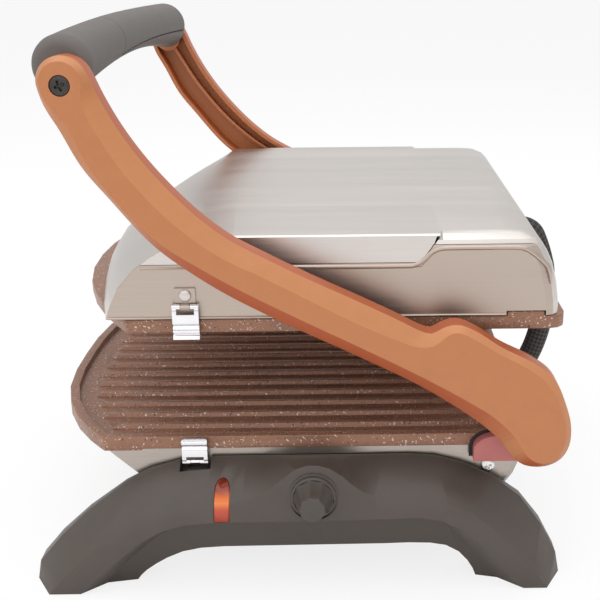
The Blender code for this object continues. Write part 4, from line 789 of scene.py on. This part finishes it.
def gripPlace(share, angle, less=0.0):
    # share runs from -1 at the near end to 1 at the far end
    flare = share * share
    radius = grip["middle"] + (grip["end"] - grip["middle"]) * flare
    left = grip["endY"] * (1 - abs(share))
    under = max(0, -math.sin(angle))
    if left < grip["endRound"]:
        away = 1 - left / grip["endRound"]
        trim = grip["endRound"] * grip["endTrim"] * (1 - math.sqrt(max(0, 1 - away * away)))
        radius -= trim * (1 + (grip["underRound"] - 1) * under)
    radius -= less
    end = 0 if share < 0 else 1
    z = grip["z"] + grip["rise"] * (1 - share * share) + grip["endRise"][end] * flare
    x = grip["x"] + grip["endShift"][end] * flare
    flat = grip["underShare"] + (grip["underEnds"][end] - grip["underShare"]) * flare
    tall = radius * math.sin(angle) * (flat if under else 1)
    return Vector((x + radius * math.cos(angle), grip["endY"] * share + shiftY, z + tall))


def makeGrip():
    bm = bmesh.new()
    seamShare = grip["seamY"] / grip["endY"]
    half = grip["seamWidth"] / 2 / grip["endY"]
    shares = [math.sin(math.pi / 2 * (2 * k / grip["steps"] - 1)) for k in range(grip["steps"] + 1)]
    shares = [s for s in shares if abs(s - seamShare) > 3 * half]
    stations = [(s, 0.0) for s in shares]
    stations += [(seamShare - half, 0.0), (seamShare, grip["seamDepth"]), (seamShare + half, 0.0)]
    stations.sort()
    opened = math.radians(grip["seamTurn"])
    grooves = (0, grip["sides"] // 2 + grip["grooveTurn"])

    def insertEdge(share):
        near, far = grip["insertLow"]
        return math.radians(near + (far - near) * (share + 1) / 2)

    rings = []
    for share, less in stations:
        inset = share >= seamShare
        low = insertEdge(share)
        ring = []
        for k in range(grip["sides"]):
            angle = low + 2 * math.pi * k / grip["sides"]
            deep = grip["seamDepth"] if inset and k in grooves else less
            ring.append(bm.verts.new(gripPlace(share, angle, deep)))
            if k in grooves:
                ring.append(bm.verts.new(gripPlace(share, angle + opened, deep)))
                ring.append(bm.verts.new(gripPlace(share, angle + 2 * opened, less)))
        rings.append(ring)
    strips(bm, rings)
    bm.faces.new(rings[0])
    bm.faces.new(rings[-1])
    tidyNormals(bm)
    addPiece("grip_moulded", bm, "grip_sleeve", replaced=("grip_sleeve", "grip_insert"), angle=40)
    # painted shade: small black rubber dots sit along the insert's edge where its holes are, standing for
    # the shade inside them
    bm = bmesh.new()
    for k in range(grip["holes"]):
        share = seamShare + grip["holesFrom"] + (grip["holesTo"] - seamShare) * k / grip["holes"]
        place = gripPlace(share, insertEdge(share), grip["holeSunk"])
        bmesh.ops.create_icosphere(
            bm, subdivisions=1, radius=grip["holeRadius"], matrix=Matrix.Translation(place),
        )
    addPiece("grip_hole_shade_dots", bm, "grip_insert", material=finishes["blackRubber"])
    print("grip made")


# cross-head screws

screws = {
    "grip_screw": {"radius": 0.0048, "dome": 0.0002},
    "bracket_screw": {"radius": 0.0038, "dome": 0.0003},
}
# depth below the head's own plane and share of its radius, from the skirt to the edge of the crown
headRings = ((0.0016, 1.0), (0.0004, 1.0), (0.0001, 0.93))
crownShare = 0.72
cross = {"reach": 0.56, "half": 0.13, "waist": 1.2, "depth": 0.0011, "taper": 0.7, "turn": 20}
stem = {"radius": 0.0020, "length": 0.012, "middle": 0.0075}


def crossCorners(radius):
    reach, half = radius * cross["reach"], radius * cross["half"]
    waist = half * cross["waist"]
    quarter = [Vector((reach, -half)), Vector((reach, half)), Vector((waist, waist))]
    turns = [Matrix.Rotation(math.radians(cross["turn"] + 90 * k), 2) for k in range(4)]
    return [turn @ corner for turn in turns for corner in quarter]


def makeScrew(node, values):
    low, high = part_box(node)
    near = node.endswith("near")
    outY = low[1] if near else high[1]
    way = 1 if near else -1
    x, z = (low[0] + high[0]) / 2, (low[2] + high[2]) / 2
    radius = values["radius"]
    crownY = outY - way * values["dome"]
    bm = bmesh.new()
    rim = [circleRing(bm, (x, outY + way * deep, z), radius * share) for deep, share in headRings]
    rim.append(circleRing(bm, (x, crownY, z), radius * crownShare))
    strips(bm, rim)
    top, bottom = [], []
    for place in crossCorners(radius):
        deep = place * cross["taper"]
        top.append(bm.verts.new((x + place.x, crownY, z + place.y)))
        bottom.append(bm.verts.new((x + deep.x, outY + way * cross["depth"], z + deep.y)))
    for a, b in zip(top, top[1:] + top[:1]):
        bm.edges.new((a, b))
    fillBetween(bm, rim[-1], top)
    strips(bm, [top, bottom])
    bm.faces.new(bottom)
    tidyNormals(bm)
    addRod(bm, (x, outY + way * stem["middle"], z), "X", stem["radius"], stem["length"], 20)
    addPiece(node + "_headed", bm, node, replaced=(node,), angle=30)


def makeScrews():
    for kind, values in screws.items():
        for side in sides:
            makeScrew(kind + "_" + side, values)
    print("screws made")


# release clips, pressed from sheet with folds across

clips = {
    "profile": (
        (0.06, 0.0000), (0.12, 0.0010), (0.20, 0.0014), (0.50, 0.0016), (0.58, 0.0012), (0.63, 0.0003),
        (0.68, 0.0010), (0.76, 0.0014), (0.83, 0.0012), (0.87, 0.0004), (0.91, 0.0013), (1.00, 0.0024),
    ),
    "sheet": 0.0008,
    "windowHalf": 0.0047,
    "window": (0.10, 0.30),
    "bow": 0.0013,
    "foldRound": 0.0002,
    "loopRadius": 0.0016,
    "loopGapHalf": 0.0027,
    "loopSetBack": 0.0015,
    "steps": 3,
}


def makeClip(node):
    held = [v.co for v in nodes[node].data.vertices]
    near = node.endswith("near")
    way = 1 if near else -1
    left, right = min(p.x for p in held), max(p.x for p in held)
    low, high = min(p.z for p in held), max(p.z for p in held)
    outY = min(p.y for p in held) if near else max(p.y for p in held)
    start, end = (high, low) if node.startswith("upper") else (low, high)
    line = smoothLine([(share, out, 0) for share, out in clips["profile"]], clips["steps"])
    middle = (left + right) / 2
    columns = [left, middle - clips["windowHalf"], middle + clips["windowHalf"], right]
    bm = bmesh.new()
    sheets = []
    for deep in (0, clips["sheet"]):
        rows = []
        for p in line:
            z = start + (end - start) * p.x
            y = outY + way * (clips["bow"] - p.y + deep)
            rows.append([bm.verts.new((x, y, z)) for x in columns])
        sheets.append(rows)
    top, bottom = clips["window"]
    opened = [top < (a.x + b.x) / 2 < bottom for a, b in zip(line, line[1:])]
    front, back = sheets
    total = len(line) - 1
    for i in range(total):
        for j in range(3):
            if j == 1 and opened[i]:
                continue
            for rows in sheets:
                bm.faces.new((rows[i][j], rows[i][j + 1], rows[i + 1][j + 1], rows[i + 1][j]))
    behind = {v: w for rows in zip(front, back) for v, w in zip(*rows)}
    for rim in [edge for edge in bm.edges if edge.is_boundary and edge.verts[0] in behind]:
        a, b = rim.verts
        bm.faces.new((a, b, behind[b], behind[a]))
    tidyNormals(bm)
    soften(bm, clips["foldRound"], angle=50)
    radius, gap = clips["loopRadius"], clips["loopGapHalf"]
    loopY = outY + way * clips["loopSetBack"]
    loopZ = start + (radius if start < end else -radius)
    for first, last in ((left, middle - gap), (middle + gap, right)):
        addRod(bm, ((first + last) / 2, loopY, loopZ), "Y", radius, last - first, 24)
    addPiece(node + "_folded", bm, node, replaced=(node,), angle=40)


def makeClips():
    for level in ("upper", "lower"):
        for side in sides:
            makeClip(level + "_clip_" + side)
    print("clips made")


# lid cover with a tight edge along its top

lid = {
    "shoulderLow": 0.1912,
    "top": 0.1980,
    "tightFrom": 0.885,
    "tightTo": 0.93,
    "edge": 0.0009,
    "levels": (0.05, 0.3, 0.97),  # shares of the shoulder's height: its foot, its upper part and the top
    "steep": 6,
    "flapEnd": (0.05985, 0.1825, 0.07035, 0.1968),  # foot and top of its slanting end
    "cuts": (-0.0004, 0.0012),  # either side of the slanting end's top, where the shoulder changes
    "sheet": 0.0010,
    "lipRadius": 0.0007,
    "lipOut": 0.0001,
    "lipHeight": 0.1531,
    "lipEnds": (-0.1075, 0.1060),
    "beadRadius": 0.0014,
    "beadSunk": 0.45,  # share of its radius that lies behind the panel's face
    "beadTaper": (0.35, 0.16),  # size at its ends, and what each step adds
    "beadSides": 12,
    "bead": (
        (-0.0780, 0.1807), (-0.0300, 0.1807), (0.0200, 0.1807), (0.0585, 0.1807), (0.0645, 0.1811),
        (0.0690, 0.1833), (0.0735, 0.1877), (0.0785, 0.1899), (0.0850, 0.1903), (0.1000, 0.1903),
        (0.1160, 0.1903), (0.1225, 0.1896), (0.1275, 0.1868), (0.1320, 0.1830), (0.1352, 0.1798),
        (0.1367, 0.1760), (0.1376, 0.1700),
    ),
}


def flapEndAt(z):
    lowX, lowZ, highX, highZ = lid["flapEnd"]
    return lowX + (highX - lowX) * min(1, (z - lowZ) / (highZ - lowZ))


def makeLidCover():
    bm = copyOf("lid_cover")
    halfWidth = max(abs(v.co.y - shiftY) for v in bm.verts)
    for cut in lid["cuts"]:
        bmesh.ops.bisect_plane(
            bm, geom=bm.verts[:] + bm.edges[:] + bm.faces[:], plane_co=(lid["flapEnd"][2] + cut, 0, 0),
            plane_no=(1, 0, 0), dist=0.00001,
        )
    bm.normal_update()
    # the sheet's inner skin looks down or inwards
    inner = {v for v in bm.verts if v.normal.z < -0.3 or v.normal.y * (v.co.y - shiftY) < -0.0001}
    for vert in bm.verts:
        if vert.co.x > flapEndAt(vert.co.z):
            continue
        side = 1 if vert.co.y > shiftY else -1
        across = abs(vert.co.y - shiftY)
        up = (vert.co.z - lid["shoulderLow"]) / (lid["top"] - lid["shoulderLow"])
        if up < lid["levels"][0] or across < halfWidth * lid["tightFrom"]:
            continue
        share = min(1, (across / halfWidth - lid["tightFrom"]) / (lid["tightTo"] - lid["tightFrom"]))
        share = share * share * (3 - 2 * share)
        sheet = lid["sheet"] if vert in inner else 0
        onTop = up > lid["levels"][2]
        wanted = halfWidth - sheet - (lid["edge"] if onTop else 0)
        rise = lid["top"] - sheet - (0 if onTop else lid["edge"])
        vert.co.y = shiftY + side * (across + (wanted - across) * share * min(1, up * lid["steep"]))
        if up > lid["levels"][1] and not onTop:
            vert.co.z += (rise - vert.co.z) * share
    bmesh.ops.recalc_face_normals(bm, faces=bm.faces)
    made = addPiece("lid_cover_pressed", bm, "lid_cover", replaced=("lid_cover",), angle=20)
    # the flap and the top meet in a fold, with nothing shaded round it
    for edge in made.data.edges:
        ends = [made.data.vertices[i].co for i in edge.vertices]
        if all(p.x < flapEndAt(p.z) and p.z > lid["shoulderLow"] - 0.0002 for p in ends):
            if all(abs(p.y - shiftY) > halfWidth * lid["tightTo"] for p in ends):
                edge.use_edge_sharp = True
    for side in sides:
        makeLip(side, halfWidth)
        makeBead(side, halfWidth)
    print("lid cover made")


def makeLip(side, halfWidth):
    # the side panel's lower edge is turned over
    bm = bmesh.new()
    first, last = lid["lipEnds"]
    y = shiftY + sides[side] * (halfWidth + lid["lipOut"])
    addRod(bm, ((first + last) / 2, y, lid["lipHeight"]), "Y", lid["lipRadius"], last - first, 16)
    addPiece("lid_lip_" + side, bm, "lid_side_" + side, angle=40)


def makeBead(side, halfWidth):
    # the side panel's rolled bead turns its corners in a curve
    line = smoothLine([(x + shiftX, 0, z) for x, z in lid["bead"]], 4)
    least, step = lid["beadTaper"]
    middle = halfWidth - lid["beadRadius"] * lid["beadSunk"]
    bm = bmesh.new()
    rings = []
    for i, here in enumerate(line):
        along = (line[min(i + 1, len(line) - 1)] - line[max(i - 1, 0)]).normalized()
        across = Vector((-along.z, 0, along.x))
        radius = lid["beadRadius"] * min(1, least + step * min(i, len(line) - 1 - i))
        ring = []
        for k in range(lid["beadSides"]):
            angle = 2 * math.pi * k / lid["beadSides"]
            place = here + across * math.cos(angle) * radius
            place.y = shiftY + sides[side] * (middle + math.sin(angle) * radius)
            ring.append(bm.verts.new(place))
        rings.append(ring)
    strips(bm, rings)
    bm.faces.new(rings[0])
    bm.faces.new(rings[-1])
    tidyNormals(bm)
    addPiece("lid_bead_" + side, bm, "lid_side_" + side, angle=50)


# braided conduit

conduit = {
    "radius": 0.0070,
    "sides": 24,
    "strands": 16,
    "pitch": 0.011,
    "slant": 4,
    "points": (
        (0.1429, 0.1672), (0.1450, 0.1672), (0.1478, 0.1658), (0.1499, 0.1639), (0.1516, 0.1612),
        (0.1545, 0.1540), (0.1570, 0.1460), (0.1588, 0.1371), (0.1588, 0.1199), (0.1586, 0.1050),
        (0.1570, 0.0954), (0.1536, 0.0840), (0.1490, 0.0735), (0.1438, 0.0629), (0.1383, 0.0535),
        (0.1348, 0.0503), (0.1317, 0.0490), (0.1275, 0.0490),
    ),
    "cuts": (0.1310, 0.0900),  # heights of the two seams between its three lengths
}


def braidFinish():
    made = bpy.data.materials.new("braidedSleeve")
    made.use_nodes = True
    tree = made.node_tree
    body = tree.nodes["Principled BSDF"]
    uv = tree.nodes.new("ShaderNodeUVMap")
    uv.uv_map = "braid"
    split = tree.nodes.new("ShaderNodeSeparateXYZ")
    tree.links.new(uv.outputs[0], split.inputs[0])
    waves = []
    for sign in (1, -1):
        mixed = mathNode(tree, "MULTIPLY_ADD", split.outputs["X"], sign, split.outputs["Y"])
        turned = mathNode(tree, "MULTIPLY", mixed, math.pi * conduit["strands"])
        waves.append(mathNode(tree, "SINE", turned))
    crossed = mathNode(tree, "MULTIPLY", *waves)
    level = tree.nodes.new("ShaderNodeMapRange")
    level.inputs["From Min"].default_value = -1
    level.inputs["From Max"].default_value = 1
    tree.links.new(crossed, level.inputs["Value"])
    # the weave's height sets its colour as well as its bump: over the braid's pattern, painted shade
    # darkens the low parts between the strands and the crossings are painted lighter
    ramp = tree.nodes.new("ShaderNodeValToRGB")
    ramp.color_ramp.elements[0].color = (0.012, 0.010, 0.009, 1)
    ramp.color_ramp.elements[1].color = (0.065, 0.057, 0.052, 1)
    tree.links.new(level.outputs["Result"], ramp.inputs["Fac"])
    tree.links.new(ramp.outputs["Color"], body.inputs["Base Color"])
    rough = tree.nodes.new("ShaderNodeMapRange")
    rough.inputs["To Min"].default_value = 0.9
    rough.inputs["To Max"].default_value = 0.6
    tree.links.new(level.outputs["Result"], rough.inputs["Value"])
    tree.links.new(rough.outputs["Result"], body.inputs["Roughness"])
    bump = tree.nodes.new("ShaderNodeBump")
    bump.inputs["Strength"].default_value = 0.8
    bump.inputs["Distance"].default_value = 0.0006
    tree.links.new(level.outputs["Result"], bump.inputs["Height"])
    tree.links.new(bump.outputs["Normal"], body.inputs["Normal"])
    finishes["braidedSleeve"] = made


def smoothLine(points, steps):
    points = [Vector(p) for p in points]
    ends = [2 * points[0] - points[1], *points, 2 * points[-1] - points[-2]]
    out = []
    for a, b, c, d in zip(ends, ends[1:], ends[2:], ends[3:]):
        for k in range(steps):
            t = k / steps
            bend = (2 * a - 5 * b + 4 * c - d) * t**2 + (3 * b - a - 3 * c + d) * t**3
            out.append((2 * b + (c - a) * t + bend) / 2)
    out.append(points[-1])
    return out


def braidedLength(line, along, first, last):
    # a sleeve from one point of the line to another, with its weave laid along it in the braid's UV
    bm = bmesh.new()
    braid = bm.loops.layers.uv.new("braid")
    ring = bmesh.ops.create_circle(bm, segments=conduit["sides"], radius=conduit["radius"])["verts"]
    edges = bm.edges[:]
    rings = [ring]
    for _ in range(first, last):
        grown = bmesh.ops.extrude_edge_only(bm, edges=edges)["geom"]
        edges = [g for g in grown if isinstance(g, bmesh.types.BMEdge)]
        rings.append([g for g in grown if isinstance(g, bmesh.types.BMVert)])
    place = {}
    across = Vector((0, 1, 0))
    for i, members in enumerate(rings, first):
        ahead = line[min(i + 1, len(line) - 1)] - line[max(i - 1, 0)]
        up = ahead.normalized().cross(across).normalized()
        for vert in members:
            angle = math.atan2(vert.co.y, vert.co.x)
            place[vert] = (angle, i)
            vert.co = line[i] + (across * math.cos(angle) + up * math.sin(angle)) * conduit["radius"]
    for face in bm.faces:
        angles = [place[loop.vert][0] for loop in face.loops]
        wide = max(angles) - min(angles) > math.pi
        for loop in face.loops:
            angle, i = place[loop.vert]
            if wide and angle < 0:
                angle += 2 * math.pi
            loop[braid].uv = (angle / (2 * math.pi), along[i] / conduit["pitch"] / conduit["slant"])
    bmesh.ops.recalc_face_normals(bm, faces=bm.faces)
    return bm


def makeConduit():
    line = [Vector((x + shiftX, shiftY, z)) for x, z in conduit["points"]]
    line = [line[0], *smoothLine(line[1:-1], 5), line[-1]]
    along = [0.0]
    for a, b in zip(line, line[1:]):
        along.append(along[-1] + (b - a).length)
    high, low = conduit["cuts"]
    top = max(i for i, p in enumerate(line) if p.z > high)
    bottom = max(i for i, p in enumerate(line) if p.z > low)
    lengths = (
        ("conduit_top", 0, top, "lid", "handle"),
        ("conduit_middle", top, bottom, "handle", "hinge"),
        ("conduit_bottom", bottom, len(line) - 1, "hinge", "base"),
    )
    made = []
    for name, first, last, above, below in lengths:
        bm = braidedLength(line, along, first, last)
        replaced = () if made else ("braided_conduit",)
        piece = addPiece(name, bm, "braided_conduit", replaced=replaced, rides=False)
        made.append((piece, above, below, line[first], line[last]))
    for piece, above, below, start, end in made:
        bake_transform(piece)
    print("conduit made of", len(made), "lengths")


armPaintWithPaintedShade()
braidFinish()
makeConduit()
makeArms()
makeGrip()
makeScrews()
makeClips()
makeLidCover()
makeSoftened()
dressRest()
